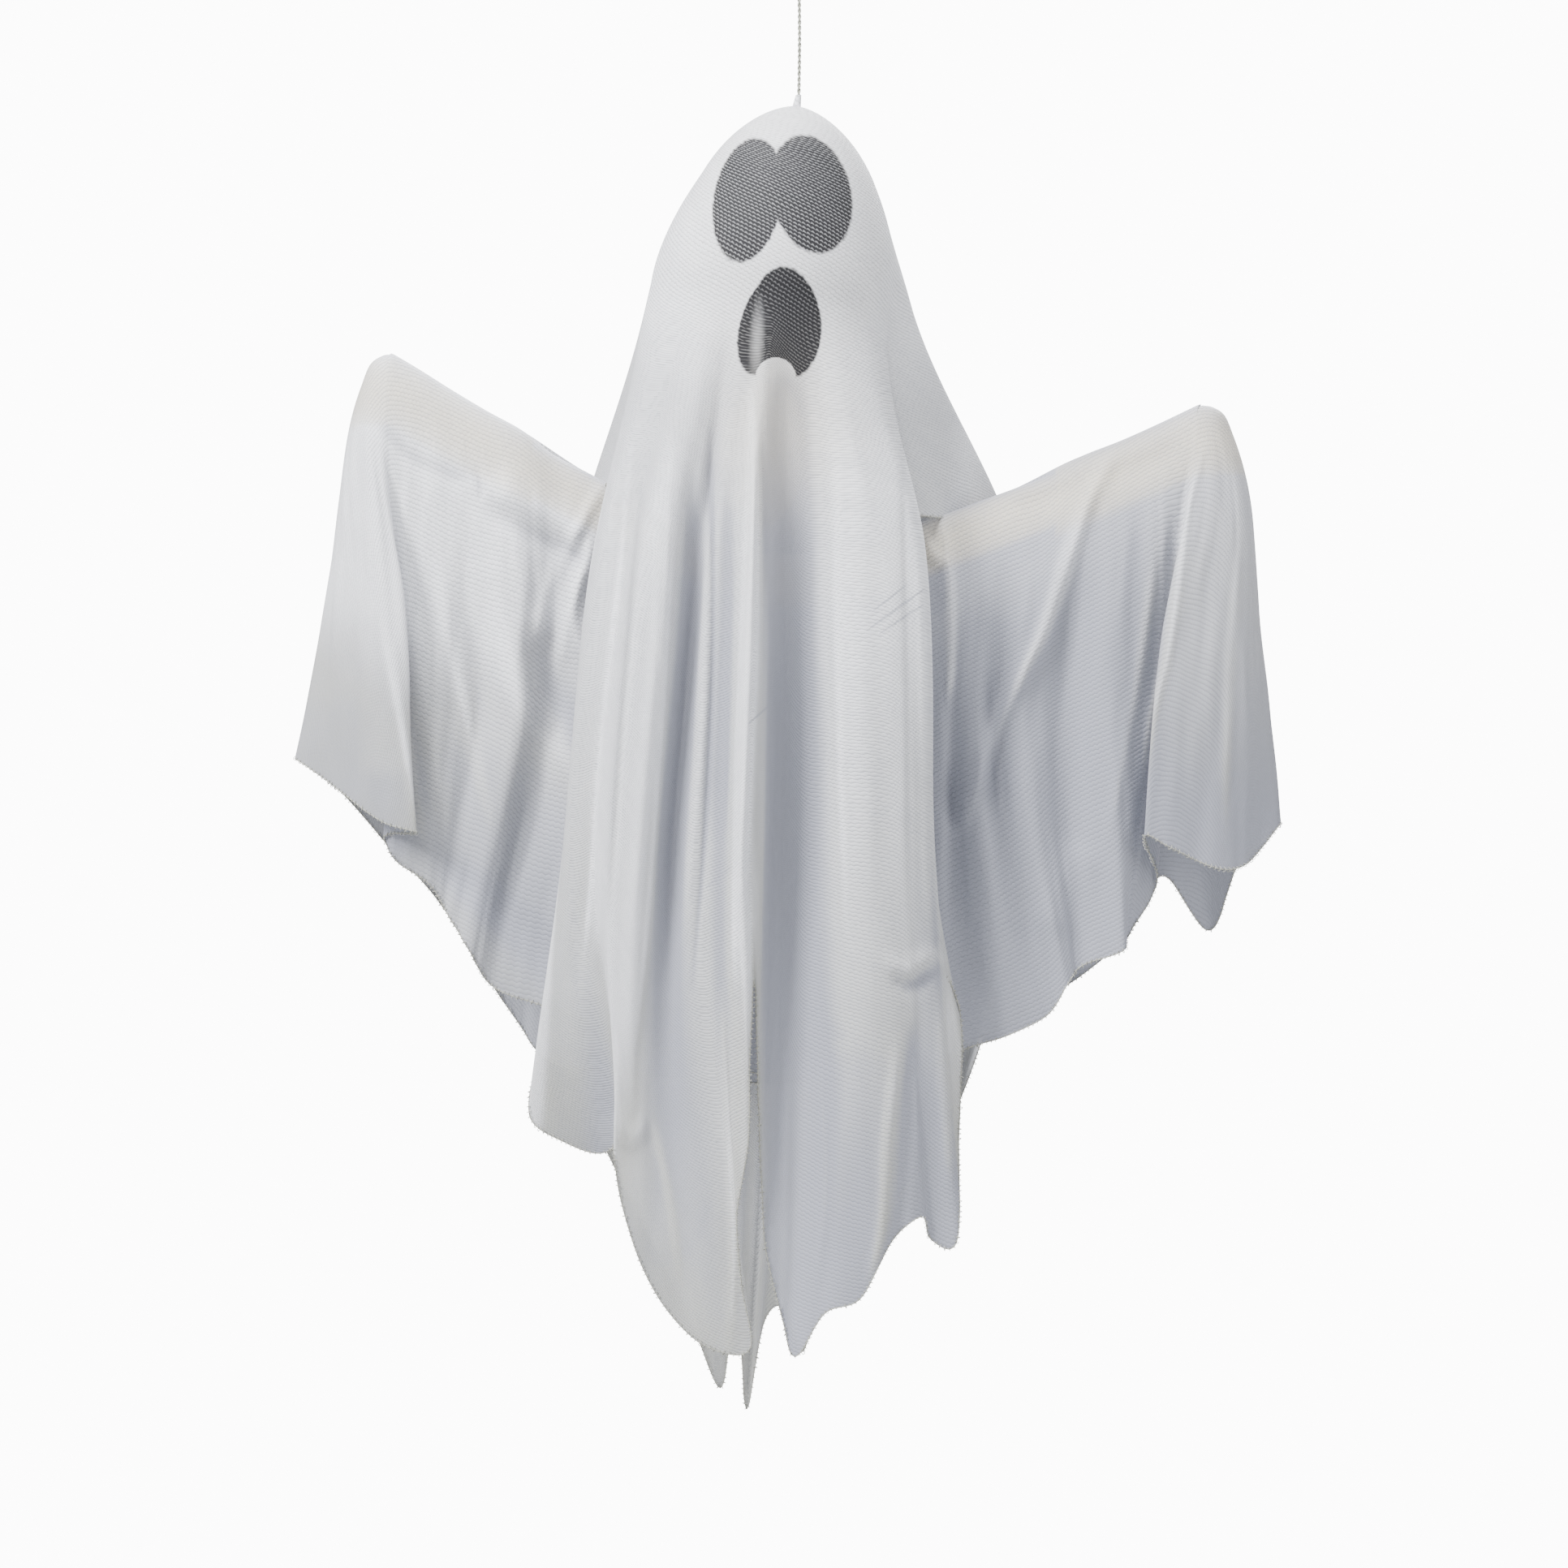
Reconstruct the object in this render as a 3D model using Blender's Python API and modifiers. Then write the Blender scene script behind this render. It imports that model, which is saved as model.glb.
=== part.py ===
"""Hanging ghost decoration: a sheer head cloth over a foam head, a second cloth over two raised arms.

Metres, +Z up, face towards -Y. The origin is where the string's loop hangs on its hook, so
everything lies below it.
"""
import math

import bmesh
import bpy
from mathutils import Matrix, Vector
from mathutils.bvhtree import BVHTree

MM = 0.001

# Heights below the hook
crown_drop = 68.0 * MM
loop_length = 16.0 * MM
loop_width = 9.0 * MM
knot_diameter = 4.2 * MM
string_diameter = 1.5 * MM
string_bow = 0.4 * MM

# Foam head, an egg with its pointed end up, which leans to one side
head_radius = 40.0 * MM
head_top_drop = 5.5 * MM
head_middle_drop = 64.0 * MM
head_bottom_drop = 112.0 * MM
head_point = 1.2
lean_shift = 0.3 * MM
lean_angle = math.radians(5.5)

# Wire skeleton
stem_diameter = 2.0 * MM
stem_top_drop = 4.5 * MM
arm_wire_diameter = 2.0 * MM
stem_eye_radius = 2.2 * MM
wire_clearance = 0.3 * MM
torso_radius = 17.0 * MM
torso_length = 58.0 * MM
forearm_radius = 11.5 * MM
upper_arm_radius = 9.0 * MM
pad_gap = 0.6 * MM
pad_rounding = 5.0 * MM
wire_overhang = 2.0 * MM

# Cloth
cloth_thickness = 0.6 * MM
hole_clearance = 0.6 * MM
hole_collar = 2.0 * MM
stem_hole_depth = 30.0 * MM
flare_drop = 34.0 * MM
left_flare = 6.8 * MM
right_flare = 3.5 * MM
back_flare = 6.5 * MM
seat_gap = 0.5 * MM
print_thickness = 0.3 * MM
print_gap = 0.7 * MM

# Wire bends, x and height below the crown, from the left tip to the right tip
ARM_LINE = [(-158.0, -117.0), (-116.0, -142.0), (-30.0, -186.0), (-5.0, -190.0),
            (20.0, -188.0), (112.0, -155.0), (157.0, -136.0)]

# Folds of the head cloth. Each runs from the crown down to the hem:
# angle on the head in degrees (0 right, 90 front), x and y at the chest, x and y at the waist,
# and x, y, z of its end on the hem. Millimetres, heights below the crown.
CHEST_HEIGHT = -180.0
WAIST_HEIGHT = -300.0
FRONT_FOLDS = [
    (8, 44, -29, 46, -29, 56, -30, -338),
    (16, 48, -35, 51, -35, 63, -34, -363),
    (24, 49, -40, 53, -40, 62, -38, -408),
    (32, 46, -46, 50, -46, 61, -40, -447),
    (39, 40, -50.5, 44, -51, 51, -40, -446),
    (46, 33, -53.5, 37, -54, 48, -44, -437),
    (53, 26, -55, 28, -56, 36, -50, -446),
    (59, 17, -53, 19, -53.5, 24, -52, -468),
    (65, 10, -47.5, 10.5, -47, 10, -50, -474),
    (70, 4, -43.5, 4, -43, -1, -47, -491),
    (75, -1, -42.5, -2, -41, -6, -45, -478),
    (80, -5.5, -43, -7, -41, -13, -46, -446),
    (84, -9, -46, -11, -44, -15, -48, -408),
    (88, -12, -51, -14.5, -51, -16, -50, -373),
    (92, -15, -56, -18, -57, -17, -52, -346),
    (95, -18, -58, -21.5, -59.5, -18.5, -54, -373),
    (98, -20.5, -55.5, -25, -56, -19.5, -54, -408),
    (101, -24, -50.5, -29, -51, -24, -53, -437),
    (105, -28, -48, -34, -49, -22, -52, -462),
    (109, -31.5, -47, -39, -48, -19, -50, -488),
    (113, -34.5, -45, -44, -46, -35, -50, -487),
    (118, -38, -42, -49, -42, -49, -49, -475),
    (123, -43, -46.5, -55, -47, -60, -48, -457),
    (128, -49, -51.5, -61, -52.5, -68, -48, -433),
    (133, -55, -53, -68, -54, -71, -49, -414),
    (138, -61, -52, -74, -53, -70.5, -47, -406),
    (143, -66, -50, -79, -50, -69.5, -42, -388),
    (148, -71, -47, -84, -46, -68, -37, -404),
    (153, -75, -44, -88, -43, -76, -34, -413),
    (158, -78, -40, -91, -40, -90, -35, -409),
    (163, -79.5, -36, -92, -36, -104, -38, -399),
    (168, -79, -32, -91, -32, -101.5, -33, -379),
    (173, -76, -28, -88, -28, -98, -31, -357),
]
BACK_FOLDS = [
    (188, -88, 29, -99, 31, -97, 31, -345),
    (198, -89, 35, -97, 38, -90, 35, -385),
    (210, -83, 40, -90, 43, -74, 38, -420),
    (222, -74, 42, -78, 40, -56, 38, -455),
    (234, -60, 42, -62, 48, -42, 40, -485),
    (246, -46, 47, -46, 42, -31, 40, -510),
    (256, -32, 44, -32, 49, -27, 43, -488),
    (266, -18, 49, -20, 44, -23.5, 44, -487),
    (275, -6, 45, -9, 51, -20.5, 47, -519),
    (284, 6, 50, 2, 44, -14, 46, -486),
    (294, 18, 46, 14, 51, -6, 49, -478),
    (302, 30, 51, 26, 45, 1.5, 46, -496),
    (310, 42, 45, 40, 50, 7, 48, -484),
    (320, 54, 45, 54, 44, 18, 43, -470),
    (332, 68, 40, 72, 42, 36, 42, -440),
    (343, 84, 36, 88, 37, 62, 36, -400),
    (352, 84, 30, 89, 32, 76, 32, -350),
]

# Folds of the arm cloth: where it leaves the arm (x, or a compass angle round a tip),
# x and y half way down, and x, y, z of its end on the hem.
FRONT_ARM_FOLDS = [
    (140, 138, -17, 129, -17, -328), (126, 122, -25, 126, -22, -335),
    (110, 104, -15, 110, -16, -341), (96, 88, -23, 104, -20, -349),
    (84, 78, -16, 97, -17, -360), (72, 70, -21, 81, -20, -368),
    (62, 60, -16, 65.5, -16, -373), (52, 54, -20, 50, -20, -380),
    (36, 36, -16, 32, -17, -384), (16, 16, -20, 12, -20, -386),
    (-6, -8, -16, -8, -16, -384), (-28, -28, -20, -30, -20, -380),
    (-48, -48, -16, -50, -17, -374), (-62, -62, -21, -70, -18, -366),
    (-74, -72, -15, -88, -16, -360), (-84, -84, -22, -97, -18, -357),
    (-96, -98, -15, -119, -16, -349), (-108, -110, -24, -128, -20, -335),
    (-122, -124, -14, -136, -16, -322), (-136, -140, -17, -144, -15, -309),
    (-148, -152, -12, -157, -14, -300),
]
LEFT_TIP_FOLDS = [
    (-95, -158, -12, -161, -13, -290), (-113, -153, -26, -148, -28, -289),
    (-130, -164, -27, -161, -28, -285), (-150, -174, -19, -173, -22, -277),
    (-170, -181, -9, -185, -12, -268), (170, -183, 0, -197, -3, -260),
    (150, -178, 12, -181, 10, -272), (125, -166, 20, -161, 18, -295),
    (105, -155, 14, -147.5, 14, -309),
]
BACK_ARM_FOLDS = [
    (-146, -144, 20, -138.5, 18, -321), (-128, -130, 14, -128, 16, -338),
    (-108, -110, 22, -112, 20, -362), (-84, -86, 15, -98, 16, -379),
    (-60, -62, 21, -70, 20, -384), (-36, -36, 15, -40, 16, -386),
    (-12, -12, 20, -12, 20, -388), (12, 12, 15, 14, 16, -386),
    (36, 36, 20, 38, 20, -384), (60, 60, 15, 60, 16, -376),
    (84, 84, 21, 88, 20, -360), (106, 106, 15, 112, 16, -345),
    (126, 128, 22, 131, 20, -328), (144, 144, 16, 143.5, 16, -306),
]
RIGHT_TIP_FOLDS = [
    (80, 160, 22, 162, 20, -328), (55, 171, 18, 173, 14, -302),
    (25, 179, 8, 186, 6, -289), (-5, 181, -4, 188, -4, -286),
    (-30, 177, -14, 176, -14, -300), (-55, 167, -22, 164, -22, -303),
    (-75, 152, -26, 145, -27, -295), (-95, 141, -26, 134, -28, -290),
    (-110, 146, -11, 140, -11, -308),
]

# How the arm cloth bends over the arm: out and up, as shares of the pad's radius with clearance
OVER_THE_ARM = [(0.4, 1.0), (0.8, 0.75), (1.1, 0.1)]
ELBOW_COVER = 12.0

# Outlines of the printed face, x and height below the crown, in millimetres
LEFT_EYE = [(-17, -18), (-25, -23), (-31.5, -33.5), (-34, -49), (-31.5, -60), (-24.5, -66),
            (-17, -64), (-11, -55), (-8.3, -46), (-9.5, -34), (-10.7, -24), (-13.5, -19)]
RIGHT_EYE = [(1, -16.5), (-6, -19), (-9.5, -24), (-8.5, -34), (-7.2, -46), (-3, -56),
             (3.5, -61), (10.5, -62), (17, -58), (20.5, -47), (19, -34), (13, -23), (7, -18)]
MOUTH = [(-3, -68), (-12.5, -71.5), (-20.5, -82), (-23.5, -96), (-21, -108), (-15.5, -106.5),
         (-9.5, -104.5), (-4.5, -108.5), (2, -110.5), (6.5, -103), (8.5, -88.5), (5, -74)]

# Cloth mesh density
HEAD_ROWS = 10
HEAD_ROW_STEP = math.radians(12)
SHROUD_ROWS = 8
SLIT_ROW = HEAD_ROWS + 1
ARM_ROWS = 5
STRIPS_PER_FOLD = 2
STRING_STEPS = 10
HEAD_SIDES = 26
PRINT_RINGS = (0.3, 0.55, 0.8, 1.0)


def collection_named(name):
    found = bpy.data.collections.new(name)
    bpy.context.scene.collection.children.link(found)
    return found


def clear_scene():
    for item in list(bpy.data.objects):
        bpy.data.objects.remove(item, do_unlink=True)


def material(name, colour, roughness, metallic=0.0):
    made = bpy.data.materials.new(name)
    made.use_nodes = True
    shader = made.node_tree.nodes["Principled BSDF"]
    shader.inputs["Base Color"].default_value = (*colour, 1.0)
    shader.inputs["Roughness"].default_value = roughness
    shader.inputs["Metallic"].default_value = metallic
    made.diffuse_color = (*colour, 1.0)
    return made


def add_object(name, data, parts, finish):
    made = bpy.data.objects.new(name, data)
    parts.objects.link(made)
    data.materials.append(finish)
    return made


def mesh_from_bmesh(name, shape):
    data = bpy.data.meshes.new(name)
    shape.to_mesh(data)
    shape.free()
    return data


def solid_from(item, name, parts, finish):
    """Turn an object with modifiers, or a curve, into one welded mesh object."""
    graph = bpy.context.evaluated_depsgraph_get()
    data = bpy.data.meshes.new_from_object(item.evaluated_get(graph))
    shape = bmesh.new()
    shape.from_mesh(data)
    bmesh.ops.remove_doubles(shape, verts=shape.verts, dist=1e-6)
    bmesh.ops.recalc_face_normals(shape, faces=shape.faces)
    shape.to_mesh(data)
    shape.free()
    place = item.matrix_world.copy()
    bpy.data.objects.remove(item, do_unlink=True)
    data.materials.clear()
    made = add_object(name, data, parts, finish)
    made.matrix_world = place
    return made


def join_solids(target, others):
    """Union the other solids into the target, and remove them."""
    for other in others:
        union = target.modifiers.new("join " + other.name, "BOOLEAN")
        union.operation = "UNION"
        union.object = other
    graph = bpy.context.evaluated_depsgraph_get()
    data = bpy.data.meshes.new_from_object(target.evaluated_get(graph))
    target.modifiers.clear()
    target.data = data
    for other in others:
        bpy.data.objects.remove(other, do_unlink=True)


def tube_curve(name, points, diameter, resolution, parts, cyclic=False):
    """A round wire or cord along the points, with closed ends."""
    curve = bpy.data.curves.new(name, "CURVE")
    curve.dimensions = "3D"
    curve.bevel_depth = diameter / 2
    curve.bevel_resolution = resolution
    curve.use_fill_caps = not cyclic
    line = curve.splines.new("POLY")
    line.points.add(len(points) - 1)
    for spot, place in zip(line.points, points):
        spot.co = (*place, 1.0)
    line.use_cyclic_u = cyclic
    made = bpy.data.objects.new(name, curve)
    parts.objects.link(made)
    return made


def catmull(before, start, end, after, share):
    """A point on the smooth curve through start and end."""
    square = share * share
    cube = square * share
    return 0.5 * ((2 * start) + (end - before) * share
                  + (2 * before - 5 * start + 4 * end - after) * square
                  + (3 * start - before - 3 * end + after) * cube)


def smooth_points(points, steps):
    """A smooth open curve through the points, with so many steps between two of them."""
    chain = [points[0] * 2 - points[1], *points, points[-1] * 2 - points[-2]]
    result = []
    for index in range(1, len(chain) - 2):
        for step in range(steps):
            result.append(catmull(*chain[index - 1:index + 3], step / steps))
    result.append(points[-1])
    return result


def from_crown(x, y, z):
    """A place given in millimetres from the crown, in the part's own frame."""
    return Vector((x * MM, y * MM, z * MM - crown_drop))


def lean_axis(drop):
    """A place on the head's leaning axis, at a length along it below the crown."""
    return Vector((-lean_shift - math.sin(lean_angle) * drop, 0.0,
                   -crown_drop - math.cos(lean_angle) * drop))


def egg_profile(polar, grow=0.0):
    """Radius and drop of the head's outline at an angle from its top, grown by a clearance."""
    radius = (head_radius + grow) * math.sin(polar)
    if polar < math.pi / 2:
        radius = (head_radius + grow) * math.sin(polar) ** head_point
        drop = head_middle_drop - (head_middle_drop - head_top_drop + grow) * math.cos(polar)
    else:
        drop = head_middle_drop - (head_bottom_drop - head_middle_drop + grow) * math.cos(polar)
    return radius, drop


def arm_axis_at(x):
    """Height of the arm wire below the crown and the steepness there, at x from the middle."""
    here = arm_line_at(x * MM)
    beside = arm_line_at(x * MM + MM)
    before = arm_line_at(x * MM - MM)
    run = beside - before
    steep = run.length / max(abs(run.x), 0.1 * MM) if run.length > 0 else 1.0
    return (here.z + crown_drop) / MM, min(steep, 1.4)


def pad_radius_at(x):
    """Radius of the pad on the arm there, in millimetres, with the elbow's round end covered."""
    elbow_left = ARM_LINE[1][0] + ELBOW_COVER
    elbow_right = ARM_LINE[-2][0] - ELBOW_COVER
    if x < elbow_left or x > elbow_right:
        return forearm_radius / MM
    return upper_arm_radius / MM


def head_rows(angle):
    """The head cloth's points from the crown to where it leaves the head."""
    turn = math.radians(angle)
    out = Vector((math.cos(turn), -math.sin(turn), 0.0))
    leaning = Vector((out.x * math.cos(lean_angle), out.y, -out.x * math.sin(lean_angle)))
    hole_edge = string_diameter / 2 + hole_clearance
    points = [out * hole_edge + Vector((0, 0, -crown_drop))]
    side_flare = left_flare if out.x < 0 else right_flare
    growth = 1.3
    if out.x > 0 and out.y > 0:
        side_flare = back_flare
        growth = 2.0
    for row in range(1, HEAD_ROWS):
        polar = HEAD_ROW_STEP * row
        radius, drop = egg_profile(polar, seat_gap + cloth_thickness)
        past = max(0.0, drop - flare_drop)
        leave = past / (head_middle_drop - flare_drop)
        radius += side_flare * abs(out.x) ** 3 * leave ** growth
        points.append(lean_axis(drop) + leaning * max(radius, hole_edge + hole_collar))
    return points


def slopes_of(stops):
    """Slope of a smooth curve through stops of falling height, at each of them."""
    secants = [(lower - upper) / (lower.z - upper.z) for upper, lower in zip(stops, stops[1:])]
    slopes = [secants[0]]
    for index in range(1, len(stops) - 1):
        above = stops[index - 1].z - stops[index].z
        below = stops[index].z - stops[index + 1].z
        slopes.append((secants[index - 1] * below + secants[index] * above) / (above + below))
    slopes.append(secants[-1])
    return slopes


def through_heights(stops, slopes, height):
    """The place on the smooth curve through the stops at a height."""
    index = 0
    while index < len(stops) - 2 and height < stops[index + 1].z:
        index += 1
    upper, lower = stops[index], stops[index + 1]
    span = lower.z - upper.z
    share = min(1.0, max(0.0, (height - upper.z) / span))
    square = share * share
    cube = square * share
    place = (upper * (2 * cube - 3 * square + 1) + slopes[index] * span * (cube - 2 * square + share)
             + lower * (3 * square - 2 * cube) + slopes[index + 1] * span * (cube - square))
    return place


def shroud_rib(fold):
    """All points of one fold of the head cloth, crown to hem."""
    angle, chest_x, chest_y, waist_x, waist_y, hem_x, hem_y, hem_z = fold
    points = head_rows(angle)
    stops = [points[-1], from_crown(chest_x, chest_y, CHEST_HEIGHT),
             from_crown(waist_x, waist_y, WAIST_HEIGHT), from_crown(hem_x, hem_y, hem_z)]
    slopes = slopes_of([points[-2], *stops])[1:]
    for row in range(1, SHROUD_ROWS + 1):
        height = stops[0].z + (stops[-1].z - stops[0].z) * row / SHROUD_ROWS
        points.append(through_heights(stops, slopes, height))
    return points


def arm_rib(place, half_x, half_y, hem_x, hem_y, hem_z, side, tip=None):
    """All points of one fold of the arm cloth, from the top of the arm to the hem."""
    if tip is None:
        axis, steep = arm_axis_at(place)
        radius = pad_radius_at(place)
        start = Vector((place, 0.0))
        out = Vector((0.0, side))
    else:
        axis, steep = arm_axis_at(tip)
        radius = forearm_radius / MM
        turn = math.radians(place)
        start = Vector((tip, 0.0))
        out = Vector((math.cos(turn), math.sin(turn)))
    radius += (seat_gap + cloth_thickness) / MM
    points = []
    for across, up in OVER_THE_ARM:
        spot = start + out * radius * across
        points.append(from_crown(spot.x, spot.y, axis + radius * up * steep))
    flank = points[-1]
    end = from_crown(hem_x, hem_y, hem_z)
    half = Vector((half_x * MM, half_y * MM, (flank.z + end.z) / 2))
    stops = [flank, half, end]
    slopes = slopes_of(stops)
    for row in range(1, ARM_ROWS + 1):
        height = flank.z + (end.z - flank.z) * row / ARM_ROWS
        points.append(through_heights(stops, slopes, height))
    return points


def blend_ribs(ribs, strips, closed):
    """Add smooth strips between neighbouring ribs."""
    count = len(ribs)
    last = count if closed else count - 1
    result = []
    for index in range(last):
        for step in range(strips):
            share = step / strips
            rib = []
            for row in range(len(ribs[0])):
                if closed:
                    around = [ribs[(index + shift) % count][row] for shift in (-1, 0, 1, 2)]
                else:
                    around = [ribs[min(max(index + shift, 0), count - 1)][row]
                              for shift in (-1, 0, 1, 2)]
                rib.append(catmull(*around, share))
            result.append(rib)
    if not closed:
        result.append(ribs[-1])
    return result


def shroud_sheet():
    """The head cloth as an open sheet: front and back, joined above the arm slits."""
    front = blend_ribs([shroud_rib(fold) for fold in FRONT_FOLDS], STRIPS_PER_FOLD, False)
    back = blend_ribs([shroud_rib(fold) for fold in BACK_FOLDS], STRIPS_PER_FOLD, False)
    ribs = front + back
    shape = bmesh.new()
    grid = [[shape.verts.new(point) for point in rib] for rib in ribs]
    rows = len(ribs[0])
    for index, rib in enumerate(grid):
        following = grid[(index + 1) % len(grid)]
        at_slit = index in (len(front) - 1, len(grid) - 1)
        for row in range(rows - 1):
            if at_slit and row >= SLIT_ROW:
                continue
            shape.faces.new((rib[row], rib[row + 1], following[row + 1], following[row]))
    bmesh.ops.recalc_face_normals(shape, faces=shape.faces)
    return mesh_from_bmesh("shroud", shape)


def arm_cloth_ribs():
    left_tip = ARM_LINE[0][0]
    right_tip = ARM_LINE[-1][0]
    ribs = [arm_rib(*fold, side=-1) for fold in FRONT_ARM_FOLDS]
    ribs += [arm_rib(*fold, side=0, tip=left_tip) for fold in LEFT_TIP_FOLDS]
    ribs += [arm_rib(*fold, side=1) for fold in BACK_ARM_FOLDS]
    ribs += [arm_rib(*fold, side=0, tip=right_tip) for fold in RIGHT_TIP_FOLDS]
    return blend_ribs(ribs, STRIPS_PER_FOLD, True)


def arm_cloth_sheet():
    """The arm cloth as an open sheet that is closed along the top of the arms."""
    shape = bmesh.new()
    grid = [[shape.verts.new(point) for point in rib] for rib in arm_cloth_ribs()]
    for index, rib in enumerate(grid):
        following = grid[(index + 1) % len(grid)]
        for row in range(len(rib) - 1):
            shape.faces.new((rib[row], rib[row + 1], following[row + 1], following[row]))
    crest = shape.faces.new([rib[0] for rib in reversed(grid)])
    bmesh.ops.triangulate(shape, faces=[crest], ngon_method="BEAUTY")
    bmesh.ops.recalc_face_normals(shape, faces=shape.faces)
    return mesh_from_bmesh("arm_cloth", shape)


def thicken(item, thickness):
    shell = item.modifiers.new("cloth thickness", "SOLIDIFY")
    shell.thickness = thickness
    shell.offset = 0.0
    shell.use_even_offset = True
    shell.thickness_clamp = 1.0


def smooth_loop(points, steps):
    """A smooth closed curve through the points."""
    count = len(points)
    result = []
    for index in range(count):
        around = [points[(index + shift) % count] for shift in (-1, 0, 1, 2)]
        for step in range(steps):
            result.append(catmull(*around, step / steps))
    return result


def make_head(parts, finish):
    """A turned foam egg with a bore along its length for the stem."""
    bore = stem_diameter / 2 + wire_clearance
    steps = round(math.pi / HEAD_ROW_STEP)
    profile = []
    for step in range(steps + 1):
        radius, drop = egg_profile(math.pi * step / steps)
        profile.append((max(bore, radius), -drop))
    shape = bmesh.new()
    spots = [shape.verts.new((radius, 0, height)) for radius, height in profile]
    for upper, lower in zip(spots, spots[1:]):
        shape.edges.new((upper, lower))
    shape.edges.new((spots[-1], spots[0]))
    item = bpy.data.objects.new("head profile", mesh_from_bmesh("head profile", shape))
    parts.objects.link(item)
    turn = item.modifiers.new("turned form", "SCREW")
    turn.steps = HEAD_SIDES
    turn.render_steps = HEAD_SIDES
    turn.use_merge_vertices = True
    turn.merge_threshold = 0.00005
    made = solid_from(item, "head_form", parts, finish)
    made.location = lean_axis(0.0)
    made.rotation_euler.y = lean_angle
    made.data.shade_smooth()
    return made


def arm_line_points():
    """The arm wire's centre line, smooth, from the left tip to the right tip."""
    return smooth_points([from_crown(x, 0.0, z) for x, z in ARM_LINE], 4)


def arm_line_at(x):
    """The place on the smooth arm line at a distance x from the middle, in metres."""
    points = arm_line_points()
    for left, right in zip(points, points[1:]):
        if left.x <= x <= right.x:
            return left.lerp(right, (x - left.x) / (right.x - left.x))
    return points[0] if x < points[0].x else points[-1]


def arm_stretch(start_x, end_x):
    """The arm line's points between two distances from the middle."""
    inner = [point for point in arm_line_points() if start_x + MM < point.x < end_x - MM]
    return [arm_line_at(start_x), *inner, arm_line_at(end_x)]


def make_arm_wire(parts, finish):
    tips = arm_line_points()
    start = tips[0] + (tips[0] - tips[1]).normalized() * wire_overhang
    end = tips[-1] + (tips[-1] - tips[-2]).normalized() * wire_overhang
    item = tube_curve("wire line", [start, *tips, end], arm_wire_diameter, 1, parts)
    return solid_from(item, "arm_wire", parts, finish)


def make_pad(name, start_x, end_x, radius, cutters, parts, finish):
    """A foam tube on the arm wire, rounded at both ends, with a bore for the wire."""
    line = arm_stretch(start_x, end_x)
    item = tube_curve(name + " line", line, radius * 2, 3, parts)
    pad = solid_from(item, name, parts, finish)
    soft = pad.modifiers.new("rounded ends", "BEVEL")
    soft.width = pad_rounding
    soft.segments = 2
    soft.limit_method = "ANGLE"
    soft.angle_limit = math.radians(60)
    bore_line = [line[0] + (line[0] - line[1]), *line, line[-1] + (line[-1] - line[-2])]
    bore = tube_curve("bore line", bore_line, arm_wire_diameter + 2 * wire_clearance, 1, cutters)
    bore = solid_from(bore, name + " bore", cutters, finish)
    cut_with(pad, "wire bore", bore)
    return pad


def make_stem(parts, finish):
    """The upright wire, which ends in an eye round the arm wire's middle."""
    foot = arm_line_at(lean_axis(crown_to_arms()).x)
    rise = (lean_axis(0.0) - lean_axis(0.1)).normalized()
    eye_middle = foot
    start = lean_axis(stem_top_drop)
    end = eye_middle + rise * (stem_eye_radius + stem_diameter / 4)
    item = tube_curve("stem line", [start, start.lerp(end, 0.5), end], stem_diameter, 1, parts)
    stem = solid_from(item, "stem_wire", parts, finish)
    bpy.ops.mesh.primitive_torus_add(major_radius=stem_eye_radius + stem_diameter / 4,
                                     minor_radius=stem_diameter / 2, major_segments=16,
                                     minor_segments=6, location=eye_middle,
                                     rotation=(0.0, math.pi / 2, 0.0))
    eye = bpy.context.active_object
    join_solids(stem, [eye])
    return stem


def crown_to_arms():
    """Length along the leaning axis from the crown to the arm wire."""
    drop = 0.0
    while lean_axis(drop).z > arm_line_at(lean_axis(drop).x).z:
        drop += 0.1 * MM
    return drop


def make_cylinder(name, radius, length, middle, group):
    """A cylinder along the leaning axis."""
    bpy.ops.mesh.primitive_cylinder_add(vertices=16, radius=radius, depth=length,
                                        location=middle, rotation=(0.0, lean_angle, 0.0))
    made = bpy.context.active_object
    made.name = name
    move_to(made, group)
    return made


def cut_with(item, name, cutter):
    cutter.hide_render = True
    cutter.display_type = "WIRE"
    cut = item.modifiers.new(name, "BOOLEAN")
    cut.operation = "DIFFERENCE"
    cut.object = cutter


def make_torso(cutters, parts, finish):
    """The stuffed roll below the chin, threaded on the stem."""
    middle_drop = head_bottom_drop + pad_gap + torso_length / 2
    bpy.ops.mesh.primitive_uv_sphere_add(segments=16, ring_count=8, radius=1.0,
                                         location=lean_axis(middle_drop),
                                         rotation=(0.0, lean_angle, 0.0))
    torso = bpy.context.active_object
    torso.data.transform(scale_matrix(torso_radius, torso_length / 2))
    torso.name = "torso_pad"
    move_to(torso, parts)
    torso.data.materials.append(finish)
    torso.data.shade_smooth()
    bore = make_cylinder("torso bore", stem_diameter / 2 + wire_clearance, torso_length * 1.4,
                         lean_axis(middle_drop), cutters)
    cut_with(torso, "stem bore", bore)
    return torso


def scale_matrix(across, along):
    return Matrix.Diagonal((across, across, along, 1.0))


def move_to(item, group):
    for owner in list(item.users_collection):
        owner.objects.unlink(item)
    group.objects.link(item)


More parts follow.
